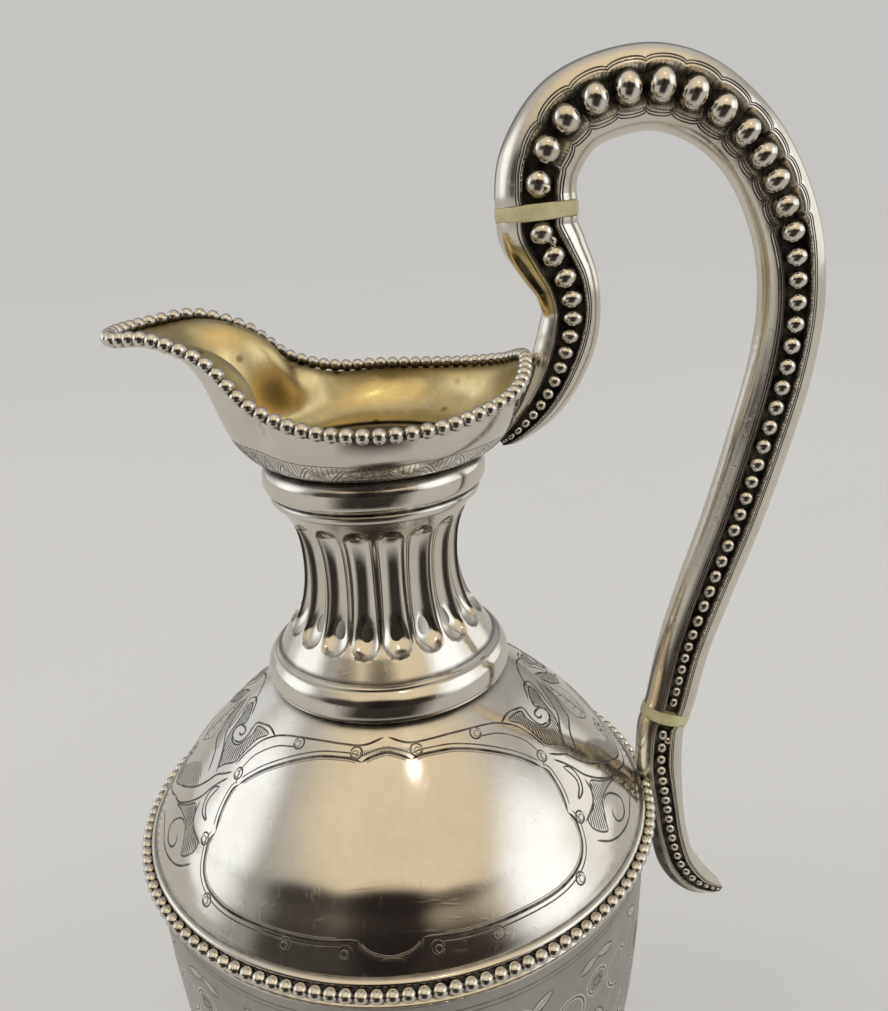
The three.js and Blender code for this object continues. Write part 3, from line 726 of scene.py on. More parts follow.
def cast_section(kind, total, stations, a, beads_at):
    """Cross-sections of half a casting: across, height above the seam and oxide and shade of each
    point.
    On the lower socket's inner flank the darkening is painted shade.

    a is the half width at each station. Across runs from the casting's inner edge to its outer one.
    """
    b = a * THICKNESS_RATIO
    share = stations / total
    places, pitch, _ = beads_at
    floor = FLOOR_SHARE * b

    # The channel's edges: arcs round the beads in the arch, a milled line further down.
    nearest = np.abs(stations[:, None] - places[None]).argmin(1)
    offset = (stations - places[nearest]) / (0.5 * pitch[nearest])
    arc = np.sqrt(np.clip(1 - np.minimum(np.abs(offset), 1) ** 2, 0, 1))
    in_arch = np.zeros_like(share)
    if kind == "arm":
        start, end = SCALLOPS
        in_arch = smoothstep(share, start - 0.01, start) * smoothstep(-share, -end, -end + 0.01)
    bead_half = table(BEAD_ROWS[kind][4], share)
    mill = 0.5 + 0.5 * np.clip(3 * np.sin(2 * math.pi * stations / MILL_PITCH), -1, 1)
    rays = in_arch * mill
    milled = smoothstep(stations, 1.0, 3.0)
    if kind == "lower_socket":
        milled = milled * smoothstep(-share, -0.75, -0.6)
    milled_side = -1 if kind == "upper_socket" else 1

    def shell(n):
        """Height of the rounded outside at n, from -1 on the inner side to 1 on the outer."""
        return b * np.sqrt(np.clip(1 - np.abs(n) ** 2.25, 0, 1))

    def flank(side):
        """Points from the seam to the channel's floor: share of a, height, oxide and shade."""
        near = side == milled_side
        room = in_arch * (0.95 * arc - 0.15) + (1 - in_arch) * (0.55 if near else 0.95)
        edge = np.minimum((bead_half + room) / a, 0.80)
        tooth = (1 - in_arch) * milled * mill * near
        # Painted shade: the lower socket's inner flank is darkened, fading in and out along its
        # length.
        painted_shade = 0 * a
        if kind == "lower_socket" and side < 0:
            painted_shade = 0.85 * smoothstep(share, 0.12, 0.38) * smoothstep(-share, -0.97, -0.80)
        out = [(n + 0 * a, shell(n), painted_shade) for n in (1.0, 0.985, 0.955, 0.91, 0.87)]
        for part in (0.25, 0.5, 0.75):
            n = 0.87 + part * (np.minimum(edge + 0.155 + 0.03, 0.855) - 0.87)
            out.append((n, shell(n), painted_shade))
        lines = ((0.155, 1.0), (0.085, 1.0)) if near or kind == "arm" else ((0.12, 0.6),)
        for away, strength in lines:
            for step, depth, dark in CUT_LINE:
                n = np.minimum(edge + away + step, 0.86)
                keep = strength * smoothstep(0.855 - n, 0, 0.02)
                out.append((n, shell(n) - 0.12 * depth * keep, dark * keep))
        n = edge + 0.035
        out.append((n, shell(n), 0.05 + 0.25 * tooth + painted_shade))
        n = edge + 0.012
        out.append((n, shell(n) - 0.03 - 0.22 * tooth, 0.1 + 0.75 * tooth + 0.35 * rays))
        # The channel's wall.
        top = shell(edge)
        base = np.minimum(floor, top)
        for drop, inward, shade in ((0.22, 0.03, 0.35), (0.6, 0.10, 0.72), (1.0, 0.19, 1.0)):
            n = edge - inward * (0.35 + 0.65 * in_arch) * np.where(near, 1.0, 1.35)
            height = top + (base - top) * drop - 0.06 * rays * (drop < 1)
            tone = shade * (1 - 0.12 * in_arch * (1 - rays)) + 0.4 * tooth * (drop < 0.5)
            out.append((np.maximum(n, 0.1), height, np.minimum(tone, 1)))
        return out

    inner, outer = flank(-1), flank(1)[::-1]
    bed = (0 * a, np.minimum(floor, shell(0.0)), 1 + 0 * a)
    ring = [(-n, v, o) for n, v, o in inner] + [bed] + outer
    across = np.stack([n * a for n, _, _ in ring], 1)
    height = np.stack([np.maximum(v, SEAM) for _, v, _ in ring], 1)
    oxide_and_shade = np.stack([o for _, _, o in ring], 1)
    height[:, 0] = height[:, -1] = SEAM
    # Two points close the half casting along its seam.
    closing = np.ones((len(a), 2))
    across = np.hstack([across, 0.6 * across[:, -1:], 0.6 * across[:, :1]])
    height = np.hstack([height, SEAM * closing])
    oxide_and_shade = np.hstack([oxide_and_shade, 0.6 * closing])
    if kind == "lower_socket":
        scoop = smoothstep(share, 0.40, 0.76) * smoothstep(-share, -0.99, -0.86)
        dip = np.exp(-((across / a[:, None] - 0.95) / 0.35) ** 2)
        across = across - dip * (scoop * a * 0.28)[:, None] * np.clip(1 - height / b[:, None], 0, 1)
    return across, height, oxide_and_shade


def casting(kind, points):
    """Both halves of a casting with their bead rows. Returns its centre line and length."""
    line = cast_line(points)
    total = lengths(line[:, :2])[-1]
    stations = np.linspace(0, total, int(total / STATION))
    centre, _, outward, width = cast_frames(line, stations)
    beads_at = bead_places(kind, total)
    across, height, oxide_and_shade = cast_section(kind, total, stations, width / 2, beads_at)
    rows, cols = across.shape
    xz = centre[:, None] + across[..., None] * outward[:, None]

    # Fans round a hub close both ends.
    hub, last = rows * cols, (rows - 1) * cols
    caps = []
    for j in range(cols):
        k = (j + 1) % cols
        caps += [(hub, k, j), (hub + 1, last + j, last + k)]

    places, pitch, half = beads_at
    here, way, _, wide = cast_frames(line, places)
    floor = FLOOR_SHARE * 0.5 * wide * THICKNESS_RATIO
    size_up = np.minimum(0.92 * half, 0.42 * wide * THICKNESS_RATIO * 0.5 + 0.55 * half)
    sizes = np.column_stack([0.43 * pitch, half, size_up])
    along = np.stack([way[:, 0], 0 * floor, way[:, 1]], -1)
    for hand, sign in (("left", -1), ("right", 1)):
        points = np.stack([xz[..., 0], sign * height, xz[..., 1]], -1)
        hubs = [points[0].mean(0), points[-1].mean(0)]
        points = np.vstack([points.reshape(-1, 3), hubs])
        make(f"{kind}_casting_{hand}", points, grid_faces(rows, cols), HANDLE,
             np.r_[oxide_and_shade.ravel(), 0.8, 0.8], [f"{kind}_{hand}"], sharp=34, caps=caps)
        centres = np.stack([here[:, 0], sign * (floor + 0.25 * size_up), here[:, 1]], -1)
        up = np.broadcast_to([0.0, float(sign), 0.0], along.shape)
        beads(f"{kind}_beads_row_{hand}", centres, along, up, sizes, f"{kind}_beads_{hand}",
              around=22, rows=15)
    return line, total


CASTINGS = {kind: casting(kind, points) for kind, points in (
    ("upper_socket", UPPER_SOCKET), ("arm", ARM), ("lower_socket", LOWER_SOCKET),
)}


def end_of(kind, last):
    """Centre and width of a casting's first or last section."""
    line, total = CASTINGS[kind]
    here, _, _, wide = cast_frames(line, np.array([total if last else 0.0]))
    return here[0], wide[0]


def bone_block(end, before, after):
    """Bone disc with softly rounded edges between two castings."""
    (p, before_width), (q, after_width) = end_of(before, True), end_of(after, False)
    middle = (p + q) / 2
    axis = unit(q - p)
    outward = np.array([-axis[1], axis[0]])
    reach = np.linalg.norm(q - p) / 2 + 0.05
    a = (before_width + after_width) / 4 + 0.25
    b = a * THICKNESS_RATIO
    # Rings from one face to the other: how far along, how large, oxide.
    rings = [(-reach, 0.0, 0.4), (-reach, 0.5, 0.4)]
    for t in np.linspace(0, math.pi, 13):
        along = -reach * np.sign(math.cos(t)) * abs(math.cos(t)) ** 0.5
        rings.append((along, 1 - 0.075 * (1 - math.sin(t) ** 0.8), 0.5 * (1 - math.sin(t)) ** 2))
    rings += [(reach, 0.5, 0.4), (reach, 0.0, 0.4)]
    angle = full_turn(72)
    points = []
    for along, size, _ in rings:
        n = a * size * np.cos(angle)
        x, z = (middle[k] + along * axis[k] + n * outward[k] for k in (0, 1))
        points.append(np.stack([x, b * size * np.sin(angle), z], -1))
    make(f"{end}_bone_block", np.array(points), grid_faces(len(rings), len(angle)), BONE,
         np.repeat([dark for _, _, dark in rings], len(angle)), [f"{end}_insulator"], sharp=60)


bone_block("upper", "upper_socket", "arm")
bone_block("lower", "arm", "lower_socket")


def domed_pin(end, level, kind, place, aside, lift):
    """Cross pin with a domed head on both sides. A negative place counts from the far end."""
    line, total = CASTINGS[kind]
    here, _, out, wide = cast_frames(line, np.array([place if place > 0 else total + place]))
    seat = FLOOR_SHARE * 0.5 * wide[0] * THICKNESS_RATIO
    here = here + out * aside
    top = seat + lift
    head = [(0.0, top), (0.5, top - 0.1), (0.9, top - 0.4), (1.08, top - 0.85), (1.05, top - 1.3),
            (0.8, seat - 0.3)]
    dark = [0, 0, 0, 0.05, 0.6, 1]
    r, v = np.array(head + [(r, -v) for r, v in head[::-1]]).T[..., None]
    angle = full_turn(28)
    x, z = here[0, 0] + r * np.cos(angle), here[0, 1] + r * np.sin(angle)
    make(f"{end}_domed_pin_{level}", np.stack([x, v + 0 * x, z], -1), grid_faces(*x.shape), BEADS,
         np.repeat(dark + dark[::-1], len(angle)), [f"{end}_pin_{level}"],
         sharp=60)


domed_pin("upper", "low", "upper_socket", -5.2, -1.4, 1.6)
domed_pin("upper", "high", "arm", 3.0, -1.4, 3.2)
domed_pin("lower", "high", "arm", -3.0, 0.0, 0.3)
domed_pin("lower", "low", "lower_socket", 5.2, 1.4, 1.5)

# ------------------------------------------------------------------ engraving

# A stroke is (path in a surface's own two coordinates, width, oxide).


def on_turned(line, hand):
    """Gives points and outward directions on a turned surface, at an angle in degrees and v
    millimetres along its line. hand is 1 for a line that climbs and -1 for one that goes down."""
    run = lengths(line)
    slope = hand * unit(np.gradient(line, axis=0))

    def at(theta, v):
        r, z, along_r, along_z = (np.interp(v, run, column) for column in (*line.T, *slope.T))
        angle = np.radians(theta)
        return polar(r, angle, z + BORDER_Z), unit(polar(along_z, angle, -along_r))

    return at


def facing_axis(points, quads):
    """Whether most quads of an open surface face the jug's axis."""
    a, b, c = (points[quads[:, k]] for k in range(3))
    face = np.cross(b - a, c - a)
    return (np.einsum("ij,ij->i", face, (a + c) / 2 * [1, 1, 0]) < 0).mean() > 0.5


RIBBON_ACROSS = np.array([-1.0, -0.62, 0.0, 0.62, 1.0])
RIBBON_LIFT = np.array([-0.02, 0.03, 0.012, 0.03, -0.02])
RIBBON_TONE = np.array([0.2, 0.8, 1.0, 0.8, 0.2])


def ribbons(name, strokes, surface, spacing=0.45):
    """Draws strokes as thin ribbons that lie on a surface and taper to their ends."""
    all_points, all_quads, all_oxide, start = [], [], [], 0
    for path, width, tone in strokes:
        path = np.asarray(path, float)
        run = lengths(surface(*path.T)[0])
        if run[-1] < 0.6:
            continue
        places = np.linspace(0, run[-1], max(4, int(run[-1] / spacing) + 1))
        point, normal = surface(*(np.interp(places, run, column) for column in path.T))
        side = unit(np.cross(normal, unit(np.gradient(point, axis=0))))
        ends = np.minimum(places, run[-1] - places)
        half = 0.5 * width * np.clip(ends / (1.6 * width), 0.12, 1) ** 0.7
        rows = point[:, None] + side[:, None] * (half[:, None] * RIBBON_ACROSS)[..., None]
        rows = rows + normal[:, None] * RIBBON_LIFT[None, :, None]
        all_points.append(rows.reshape(-1, 3))
        all_quads.append(grid_faces(len(places), len(RIBBON_ACROSS), wrap_cols=False) + start)
        all_oxide.append(np.tile(tone * RIBBON_TONE, len(places)))
        start += len(all_points[-1])
    points, quads = np.vstack(all_points), np.vstack(all_quads)
    make(name, points, quads, ENGRAVED, np.concatenate(all_oxide), sharp=None,
         flip=facing_axis(points, quads))


def ring_cut(u, v, size_u, size_v, count=22):
    t = np.linspace(0, 2 * math.pi, count)
    return np.column_stack([u + size_u * np.cos(t), v + size_v * np.sin(t)])


def hatch(outline, direction, scale, width, tone, pitch=0.74):
    """Parallel cuts that fill a closed outline. scale turns u into millimetres."""
    shape = np.asarray(outline, float) * [scale, 1]
    angle = math.radians(direction)
    along = np.array([math.cos(angle), math.sin(angle)])
    over = np.array([-along[1], along[0]])
    s, t = shape @ along, shape @ over
    strokes = []
    for level in np.arange(t.min() + pitch / 2, t.max(), pitch):
        hits = []
        for i in range(len(shape)):
            k = (i + 1) % len(shape)
            if (t[i] - level) * (t[k] - level) < 0:
                hits.append(s[i] + (level - t[i]) / (t[k] - t[i]) * (s[k] - s[i]))
        hits.sort()
        for low, high in zip(hits[::2], hits[1::2]):
            if high - low >= 0.5:
                line = np.linspace(low, high, 5)[:, None] * along + level * over
                strokes.append((line / [scale, 1], width, tone))
    return strokes


def mirrored_round(strokes, turns):
    """Repeats strokes and their mirror images at each turn."""
    return [
        (np.asarray(path) * [sign, 1] + [turn, 0], width, tone)
        for path, width, tone in strokes for turn in turns for sign in (1, -1)
    ]


# On the dome u is degrees from the handle's side and v millimetres up the dome's line.
CARTOUCHE_AT = -92.5


def dome_scale(v):
    """Millimetres of circumference for one degree of turn at v."""
    return math.radians(1) * float(np.interp(v, lengths(BELL), BELL[:, 0]))


# Half of the large cartouche, from its top centre to its bottom, in degrees from its own axis.
CARTOUCHE_HALF = [spline(arch, 8) for arch in (
    [[0, 41.8], [5, 41.3], [9, 40.4], [11.5, 39.5]],
    [[11.5, 39.5], [15, 40.1], [19, 40.2], [28, 39.6], [38, 36.9], [47, 32.6], [51.5, 29],
     [53.4, 26.8]],
    [[53.4, 26.8], [54.6, 25.2], [54.6, 23.4], [53.8, 19.6], [51.8, 15.7]],
    [[51.8, 15.7], [52.6, 13.6], [52.4, 12], [51, 8.6], [48, 6], [42, 4.3], [30, 4.0], [18, 4.0],
     [9, 4.6]],
    [[9, 4.6], [8.4, 3.3], [6.5, 2.0], [3.5, 1.2], [0, 1.0]],
)]
CARTOUCHE_BOSSES = (
    (14, 41.5), (39, 41), (56.6, 28.4), (54.5, 13), (46, 3.2), (24, 2.0), (11.5, 2.2),
)


def moved(path, out):
    """A line beside a path: out millimetres to its left, in the dome's own scale."""
    scale = np.array([dome_scale(v) for v in path[:, 1]])
    step = unit(np.gradient(path, axis=0) * np.column_stack([scale, np.ones(len(path))]))
    return path + out * np.column_stack([-step[:, 1] / scale, step[:, 0]])


def cartouche():
    """Strokes of half of the cartouche, its bosses and the comb over its top."""
    strokes = []
    for k, arch in enumerate(CARTOUCHE_HALF):
        inner = arch + [CARTOUCHE_AT, 0]
        strokes.append((inner, 0.68, 1.0))
        if k < 4:
            strokes.append((moved(inner, 1.15)[3:-3], 0.34, 0.95))
        strokes.append((moved(inner, -0.62)[4:-4], 0.22, 0.7))
    for a, v in CARTOUCHE_BOSSES:
        s = dome_scale(v)
        a += CARTOUCHE_AT
        strokes.append((ring_cut(a, v, 1.35 / s, 1.35), 0.42, 1.0))
        strokes.append((ring_cut(a + 0.25 / s, v - 0.25, 0.75 / s, 0.75, 14), 0.34, 0.7))
    for k in range(16):
        a = 0.8 + 0.75 * k
        tooth = [(CARTOUCHE_AT + a + 0.3 * i, 41.9 + 0.7 * i - 0.1 * a) for i in range(3)]
        strokes.append((tooth, 0.26, 0.85))
    return strokes


COMMA_LEAF = [
    (-37, 39.2), (-31, 39.2), (-28, 38.3), (-29, 36.7), (-28, 34.6), (-26, 32.2), (-22, 31.3),
    (-19, 31.7), (-17, 33.2), (-18, 35.2), (-20, 36.4), (-18, 37.9), (-13, 39.3), (-10, 38.8),
    (-10, 37.6), (-13, 35.5), (-15, 33), (-16, 30.9), (-19, 29.2), (-24, 26.5), (-25, 25.2),
    (-27, 27), (-31, 29.6), (-31.4, 31), (-32, 33.7), (-33, 36.5), (-36, 38.5),
]
LOW_LEAF = [
    (-27, 15.9), (-23, 13.2), (-17, 9.5), (-20, 10.5), (-23, 11), (-27, 10.9), (-29, 9.2),
    (-31, 7.1), (-32, 5.6), (-36, 8.8), (-36, 11.2), (-32, 11.9), (-29, 14.2),
]
# Scrolls and straps of the dome, by the width of their cut.
SCROLLS = (
    (0.52, [(-41, 39.8), (-35, 40.6), (-30, 39.9), (-26, 38.6), (-27, 35.4), (-26, 33.1),
            (-22, 31.8)]),
    (0.52, [(-19, 38.6), (-13, 40.6), (-9, 40.3), (-7, 38.8), (-9, 36.5), (-12, 33.2), (-13, 30)]),
    (0.58, [(-22, 31.8), (-19, 31.8), (-17, 33.2), (-18, 34.8), (-22, 35.7), (-24, 35.4),
            (-24, 34.4), (-22, 33.8), (-21, 34.1)]),
    (0.58, [(-2, 37.2), (-8, 34.2), (-11, 31.8), (-14, 30), (-20, 28.2), (-25, 25.2), (-26, 24.1)]),
    (0.58, [(-2, 35.6), (-4, 31.7), (-8, 28.7), (-10, 27), (-17, 25.6), (-21, 23.2), (-22, 22.1)]),
    (0.58, [(-33, 27.6), (-30, 25.8), (-27, 24), (-25, 21.2), (-22, 18), (-17, 14.6), (-11, 11.1)]),
    (0.58, [(-33, 25.9), (-31, 24), (-29, 21.4), (-27, 17.9), (-23, 14.1), (-17, 10.2),
            (-12, 8.5)]),
    (0.58, [(-27, 10.3), (-25, 10.5), (-22, 8.9), (-20, 5.8), (-22, 3.7), (-25, 3.5), (-27, 4.7),
            (-27, 6.3), (-26, 7.1)]),
    (0.52, [(-28, 17.3), (-29, 14.6), (-31, 12.7), (-35, 11.6), (-37, 11.2)]),
    (0.48, [(-32, 23.2), (-30, 22.1), (-29.4, 20), (-30, 18), (-32, 16.2), (-35, 15.9),
            (-32, 17.5), (-31, 19.1), (-32, 23.2)]),
    (0.58, [(-11, 11.1), (-7, 8.6), (-3, 6.9), (0, 6.5)]),
    (0.58, [(-12, 8.5), (-8, 6.3), (-4, 4.6), (0, 4.2)]),
    (0.52, [(-13, 39.3), (-8, 41.6), (-4, 42.6), (0, 42.9)]),
    (0.52, [(-10, 2.2), (-14, 2.8), (-18, 2.4), (-22, 1.6), (-28, 2.0), (-33, 3.6), (-37, 6.4)]),
)
TOP_GROUND = [
    (-2, 37.2), (-8, 34.2), (-11, 31.8), (-14, 30), (-17, 27.8), (-17, 25.6), (-10, 27),
    (-8, 28.7), (-4, 31.7), (-2, 35.6),
]
LOW_GROUND = [
    (-22, 18), (-17, 14.6), (-11, 11.1), (-4, 7.4), (0, 6.5), (0, 11.4), (-5, 13.2), (-9, 17.5),
    (-14, 20.6), (-19, 20.6),
]
HEAVY_CUT = 1.3  # the dome's cuts are drawn this much wider than their tables say


def dome_quarter():
    """Strokes of one quarter of the dome, from the handle's side to the cartouche's axis."""
    strokes = cartouche()
    outer = [(-89, 45), (-81, 43.3), (-72, 43.2), (-64, 43.1), (-53, 42.3), (-46, 41.3),
             (-41, 39.9), (-36, 37.1), (-33.4, 33.5), (-32, 29.2)]
    middle = [(-53, 40), (-45, 38.4), (-40, 35.8), (-37, 33), (-36, 28.5), (-38, 26.4)]
    strokes += [(spline(outer), 0.5, 1.0), (spline(middle), 0.36, 0.95)]
    for leaf, v in ((COMMA_LEAF, 34), (LOW_LEAF, 11)):
        line = spline(leaf, 6, closed=True)
        strokes.append((np.vstack([line, line[:1]]), 0.46, 1.0))
        strokes += hatch(line, 62, dome_scale(v), 0.42, 1.0)
    strokes += [(spline(points), width, 1.0) for width, points in SCROLLS]
    bud = [(-1, 35.4), (-3.4, 31.8), (-6.4, 27.4), (-6.6, 24.2), (-4.4, 21.9), (-2.4, 20.4),
           (0, 19.8)]
    strokes.append((spline(bud), 0.34, 0.9))
    for k in range(5):
        v = 33 - 2.6 * k
        rib = [(0, v - 2.2), (-1.6, v - 0.9), (-2.9 - 0.35 * k, v - 0.2)]
        strokes.append((spline(rib), 0.22, 0.75))
    strokes.append((spline([(0, 34.6), (0, 28), (0, 20.4)]), 0.36, 0.95))
    strokes += hatch(TOP_GROUND, 100, dome_scale(31), 0.34, 0.9)
    strokes += hatch(LOW_GROUND, 18, dome_scale(13), 0.34, 0.9)
    # Flower head: four open petals round an eye.
    s = dome_scale(16)
    for spin in (45, 135, 225, 315):
        t = np.radians(np.linspace(-60, 240, 16) + spin - 90)
        x = 1.5 * math.cos(math.radians(spin)) + 1.25 * np.cos(t)
        y = 1.5 * math.sin(math.radians(spin)) + 1.25 * np.sin(t)
        strokes.append((np.column_stack([x / s, 14.4 + y]), 0.26, 0.85))
    strokes.append((ring_cut(0, 14.4, 0.7 / s, 0.7, 14), 0.26, 0.9))
    return [(path, HEAVY_CUT * width, tone) for path, width, tone in strokes]


ribbons("dome_engraving", mirrored_round(dome_quarter(), (0, 180)), on_turned(BELL, 1))

# On the body v runs down its line from the shoulder, and a degree is about 1.07 mm.
DEGREE = 1.07
BODY_PANELS = 8


def curl(u, v, size, start, turns, hand):
    """Spiral that winds in to its eye at (u, v)."""
    t = np.linspace(0, 1, 40)
    angle = math.radians(start) + hand * 2 * math.pi * turns * t
    radius = size * (1 - t) ** 1.15 + 0.35
    return np.column_stack([u + radius * np.cos(angle) / DEGREE, v + radius * np.sin(angle)])


def leaf_lines(u, v, length, width, angle):
    """Both sides and the vein of a leaf."""
    t = np.linspace(0, math.pi, 14)
    x = length * (1 - np.cos(t)) / 2
    y = width * np.sin(t) * (1 - 0.35 * x / length)
    c, s = math.cos(math.radians(angle)), math.sin(math.radians(angle))
    return [
        np.column_stack([u + (c * x - s * sign * y) / DEGREE, v + s * x + c * sign * y])[:count]
        for sign, count in ((-1, 14), (1, 14), (0, 12))
    ]


def body_panel():
    """Strokes of half of one of the body's scroll panels, 22.5 degrees wide."""
    stalk = [(0, 66), (3, 60), (8, 55), (13, 47), (14, 38), (10, 31), (5, 28), (1, 31)]
    strokes = [
        (spline(stalk), 0.5, 0.75),
        (curl(5.2, 35.5, 7.4, -60, 1.35, 1), 0.5, 0.75),
        (curl(13.4, 18.5, 6.2, 100, 1.3, -1), 0.45, 0.75),
        (spline([(12.3, 24.6), (17, 27), (20.5, 32), (22.5, 40)]), 0.45, 0.75),
        (spline([(0, 9), (4, 11), (8, 16), (9.5, 22), (12.3, 24.6)]), 0.4, 0.75),
    ]
    for u, v, size, wide, angle in (
        (14, 40, 8, 1.9, -20), (13.2, 47, 9, 2.0, 20), (9, 54, 8, 1.9, 62), (3, 60, 7, 1.6, 30),
        (0, 20, 8, 1.9, 90), (4, 12, 7, 1.5, -35), (19.5, 30, 6, 1.4, -60), (17, 10, 6.5, 1.5, -15),
        (22.5, 42, 9, 2.2, 90), (20.5, 54, 7, 1.6, 130),
    ):
        left, right, vein = leaf_lines(u, v, size, wide, angle)
        strokes += [(spline(vein[[0, 5, -1]]), 1.75 * wide, 0.0),
                    (left, 0.32, 0.75), (right, 0.32, 0.75), (vein, 0.22, 0.6)]
    strokes.append((ring_cut(22.5, 16, 3.0, 3.2), 0.4, 0.75))
    strokes.append((ring_cut(22.5, 16, 1.1, 1.2, 14), 0.36, 0.8))
    for k in range(6):
        t = math.radians(60 * k)
        petal = ring_cut(22.5 + 2.05 * math.cos(t), 16 + 2.2 * math.sin(t), 0.75, 0.8, 12)
        strokes.append((petal, 0.24, 0.7))
    return strokes


def body_strokes():
    """Panels, each heavy line on a bright band, between plain rings, with leaf tips below."""
    strokes = []
    turns = [45 * k + 22.5 for k in range(BODY_PANELS)]
    for path, width, tone in mirrored_round(body_panel(), turns):
        if width >= 0.4 and tone > 0:
            strokes.append((path, 1.5, 0.0))
        strokes.append((path, 1.4 * width if tone > 0 else width, 1.2 * tone))
    around = np.linspace(0, 360, 241)
    for v, width in ((3.2, 0.5), (4.4, 0.3), (72, 0.5), (73.2, 0.3), (84.5, 0.4)):
        strokes.append((np.column_stack([around, np.full(241, float(v))]), width, 0.8))
    for u in 7.5 * np.arange(48):
        tip = [(u - 3.6, 74.6), (u - 2.6, 79.5), (u, 83.6), (u + 2.6, 79.5), (u + 3.6, 74.6)]
        strokes.append((spline(tip, 5), 0.34, 0.7))
        strokes.append((spline([(u, 76), (u, 79), (u, 82.2)], 4), 0.22, 0.6))
    return strokes


ribbons("body_engraving", body_strokes(), on_turned(BODY_LINE, -1), spacing=0.8)


def on_bowl(turn, rise):
    point, inward = mouth_skin(turn, rise)
    return point, -inward


def bowl_path(path):
    """A path of (turn, millimetres above the bowl's foot) as (turn, rise)."""
    rises = np.linspace(0, 1, 161)
    out = []
    for turn, height in path:
        climb = mouth_point(np.full(161, turn), rises)[:, 2] - BORDER_Z - MOUTH_FOOT_Z
        out.append((turn, np.interp(height, np.maximum.accumulate(climb), rises)))
    return out


# The zigzag band, in millimetres above the bowl's foot: its edges, and the foot, top and width of
# each line of a tooth's side.
BOWL_TEETH = 30
BOWL_EDGES = (0.7, 6.3)
BOWL_LINES = ((1.3, 5.0, 0.36), (2.2, 5.9, 0.30), (0.9, 3.7, 0.22), (0.9, 2.5, 0.22))


def bowl_strokes():
    """Zigzag band of double lines with hatching between the teeth."""
    strokes = []
    half = 0.5 / BOWL_TEETH
    for u in np.arange(BOWL_TEETH) / BOWL_TEETH:
        for sign in (-1, 1):
            for low, high, width in BOWL_LINES:
                reach = half if high - low > 3 else half * (high - low) / 3.7
                path = [(u + sign * reach * (1 - t), low + (high - low) * t)
                        for t in (0, 0.33, 0.67, 1)]
                strokes.append((bowl_path(path), width, 0.95))
            for share in (0.35, 0.6, 0.85):
                path = [(u + sign * share * half, height)
                        for height in (6.1 - 3.3 * share, 5.6 - 0.6 * share, 6.1)]
                strokes.append((bowl_path(path), 0.24, 0.9))
    for height in BOWL_EDGES:
        loop = [(turn, height) for turn in np.linspace(0, 1, 241)]
        strokes.append((bowl_path(loop), 0.28, 0.9))
    return strokes


ribbons("bowl_engraving", bowl_strokes(), on_bowl, spacing=0.5)

# ------------------------------------------------------------------ floor, light and camera

# The studio is in metres.


def studio_floor():
    """Pale floor. For glossy rays it carries a painted reflection: a dark wedge in front of the
    jug, which the silver shows.
    """
    ticks = np.linspace(-14.0, 14.0, 9)
    x, y = np.meshgrid(ticks, ticks, indexing="ij")
    points = np.stack([x, y, 0 * x], -1).reshape(-1, 3)
    mesh = bpy.data.meshes.new("studio_floor")
    mesh.from_pydata(points.tolist(), [], grid_faces(9, 9, wrap_cols=False).tolist())
    n = Surface("pale_floor")
    direct = n.mix(n.noise(3, 3), (0.78, 0.77, 0.75), (0.82, 0.81, 0.79))
    # Painted reflection for glossy rays only: dark in a wedge in front of the jug, pale outside it.
    axes = n.axes()
    ahead = n.times(axes["Y"], -1.0)
    aside = n.calc("ABSOLUTE", n.add(axes["X"], 0.05), 0.0)
    slant = n.span(n.calc("DIVIDE", aside, n.calc("MAXIMUM", ahead, 0.05)), 0.45, 1.0)
    outside = n.calc("MAXIMUM", slant, n.span(ahead, 0.16, 0.34, 1.0, 0.0))
    mirrored = n.mix(outside, (0.035, 0.028, 0.025), (0.68, 0.665, 0.64))
    glossy = n.new("ShaderNodeLightPath").outputs["Is Glossy Ray"]
    mesh.materials.append(n.shade(n.mix(glossy, direct, mirrored), 0.85, Specular_IOR_Level=0.1))
    floor = bpy.data.objects.new("studio_floor", mesh)
    bpy.context.scene.collection.objects.link(floor)


studio_floor()

AIM = Vector((0.0, 0.0, 0.2))


def soft_light(name, place, size, power, tone=(1.0, 0.98, 0.95), mirrored=False):
    data = bpy.data.lights.new(name, "AREA")
    data.size = size
    data.energy = power
    data.color = tone
    lamp = bpy.data.objects.new(name, data)
    bpy.context.scene.collection.objects.link(lamp)
    lamp.location = place
    lamp.visible_glossy = mirrored
    lamp.rotation_euler = (AIM - Vector(place)).to_track_quat("-Z", "Y").to_euler()


soft_light("softbox_left", (-1.6, -0.6, 1.7), 1.0, 5.0)
soft_light("softbox_right", (1.7, -0.8, 1.5), 0.9, 3.5)
soft_light("lamp_top", (0.24, -0.62, 1.6), 0.08, 0.3, (1.0, 0.93, 0.80), mirrored=True)


def direction(azimuth, elevation):
    """Azimuth 0 is towards -Y and 90 is towards +X."""
    a, e = math.radians(azimuth), math.radians(elevation)
    return (math.sin(a) * math.cos(e), -math.cos(a) * math.cos(e), math.sin(e))


# What the polished silver reflects: soft areas of the studio as (azimuth, elevation, full
# within, gone beyond, colour), all in degrees, over a plain background by height.
SOFT_AREAS = [
    (4, 56, 22, 58, (0.86, 0.73, 0.53)),
    (180, 14, 20, 50, (0.20, 0.20, 0.21)),
    (-6, 8, 22, 33, (0.014, 0.009, 0.008)),
    (-40, 9, 14, 26, (0.05, 0.042, 0.037)),
    (24, 8, 12, 24, (0.03, 0.022, 0.018)),
    (130, 14, 10, 30, (0.38, 0.37, 0.36)),
    (-97, 17, 9, 29, (1.25, 1.30, 1.35)),
    (72, 19, 9, 30, (1.35, 1.39, 1.43)),
    (-128, 4, 8, 24, (0.75, 0.77, 0.79)),
    (108, 2, 14, 32, (1.05, 1.05, 1.02)),
]
BACKGROUND = [
    (0.0, 0.36), (0.49, 0.34), (0.52, 0.30), (0.62, 0.36), (0.75, 0.46), (0.9, 0.58), (1.0, 0.55),
]
PALE = 0.70  # what lights every surface that is not a mirror


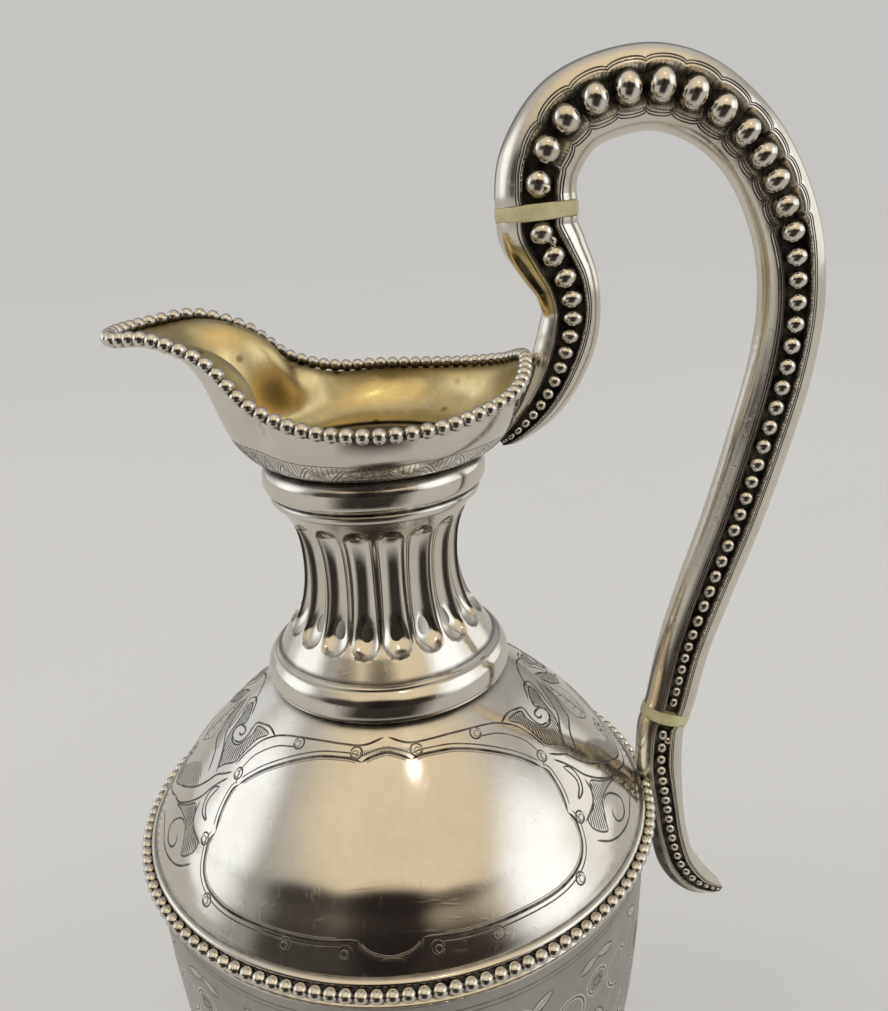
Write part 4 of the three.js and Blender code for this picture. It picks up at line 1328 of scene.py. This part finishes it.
def studio_world():
    world = bpy.data.worlds.new("studio")
    bpy.context.scene.world = world
    world.use_nodes = True
    world.node_tree.nodes.clear()
    n = Nodes(world.node_tree, "Generated")
    ramp = n.new("ShaderNodeValToRGB", {"Fac": n.span(n.axes()["Z"], -1.0, 1.0)})
    stops = ramp.color_ramp.elements
    stops[0].position, stops[1].position = BACKGROUND[0][0], BACKGROUND[-1][0]
    for position, _ in BACKGROUND[1:-1]:
        stops.new(position)
    for stop, (_, value) in zip(stops, BACKGROUND):
        stop.color = (value, value * 0.97, value * 0.91, 1)
    colour = ramp.outputs["Color"]
    for azimuth, elevation, full, gone, tone in SOFT_AREAS:
        inputs = {0: n.place, 1: direction(azimuth, elevation)}
        near = n.new("ShaderNodeVectorMath", inputs, operation="DOT_PRODUCT").outputs["Value"]
        edge, core = math.cos(math.radians(gone)), math.cos(math.radians(full))
        colour = n.mix(n.span(near, edge, core, shape="SMOOTHSTEP"), colour, tone)

    def background(tone):
        return n.new("ShaderNodeBackground", {"Color": tone}).outputs[0]

    def either(ray, otherwise, seen):
        share = n.new("ShaderNodeLightPath").outputs[ray]
        return n.new("ShaderNodeMixShader", {"Fac": share, 1: otherwise, 2: seen}).outputs[0]

    pale = background((PALE, PALE * 0.99, PALE * 0.97, 1))
    backdrop = background((PALE * 0.80, PALE * 0.79, PALE * 0.77, 1))
    mirrored = either("Is Glossy Ray", pale, background(colour))
    n.new("ShaderNodeOutputWorld", {"Surface": either("Is Camera Ray", mirrored, backdrop)})


studio_world()
bpy.context.scene.view_settings.view_transform = "Standard"


def viewpoint():
    """Camera fitted to the photo's outlines of the shoulder, collar and rim."""
    data = bpy.data.cameras.new("camera")
    data.lens = 32.05
    data.sensor_width = 36
    data.clip_start, data.clip_end = 0.01, 60
    camera = bpy.data.objects.new("camera", data)
    bpy.context.scene.collection.objects.link(camera)
    yaw, pitch, roll = (math.radians(angle) for angle in (0.17, 19.4, -3.18))
    right = Vector((math.cos(yaw), -math.sin(yaw), 0))
    level = Vector((math.sin(yaw), math.cos(yaw), 0))
    forward = level * math.cos(pitch) - Vector((0, 0, math.sin(pitch)))
    up = right.cross(forward)
    rolled = math.cos(roll) * right + math.sin(roll) * up
    upright = -math.sin(roll) * right + math.cos(roll) * up
    turn = Matrix((rolled, upright, -forward)).transposed()
    place = (0.0150, -0.1992, BORDER_Z / 1000 + 0.1492)
    camera.matrix_world = Matrix.Translation(place) @ turn.to_4x4()
    bpy.context.scene.camera = camera


viewpoint()
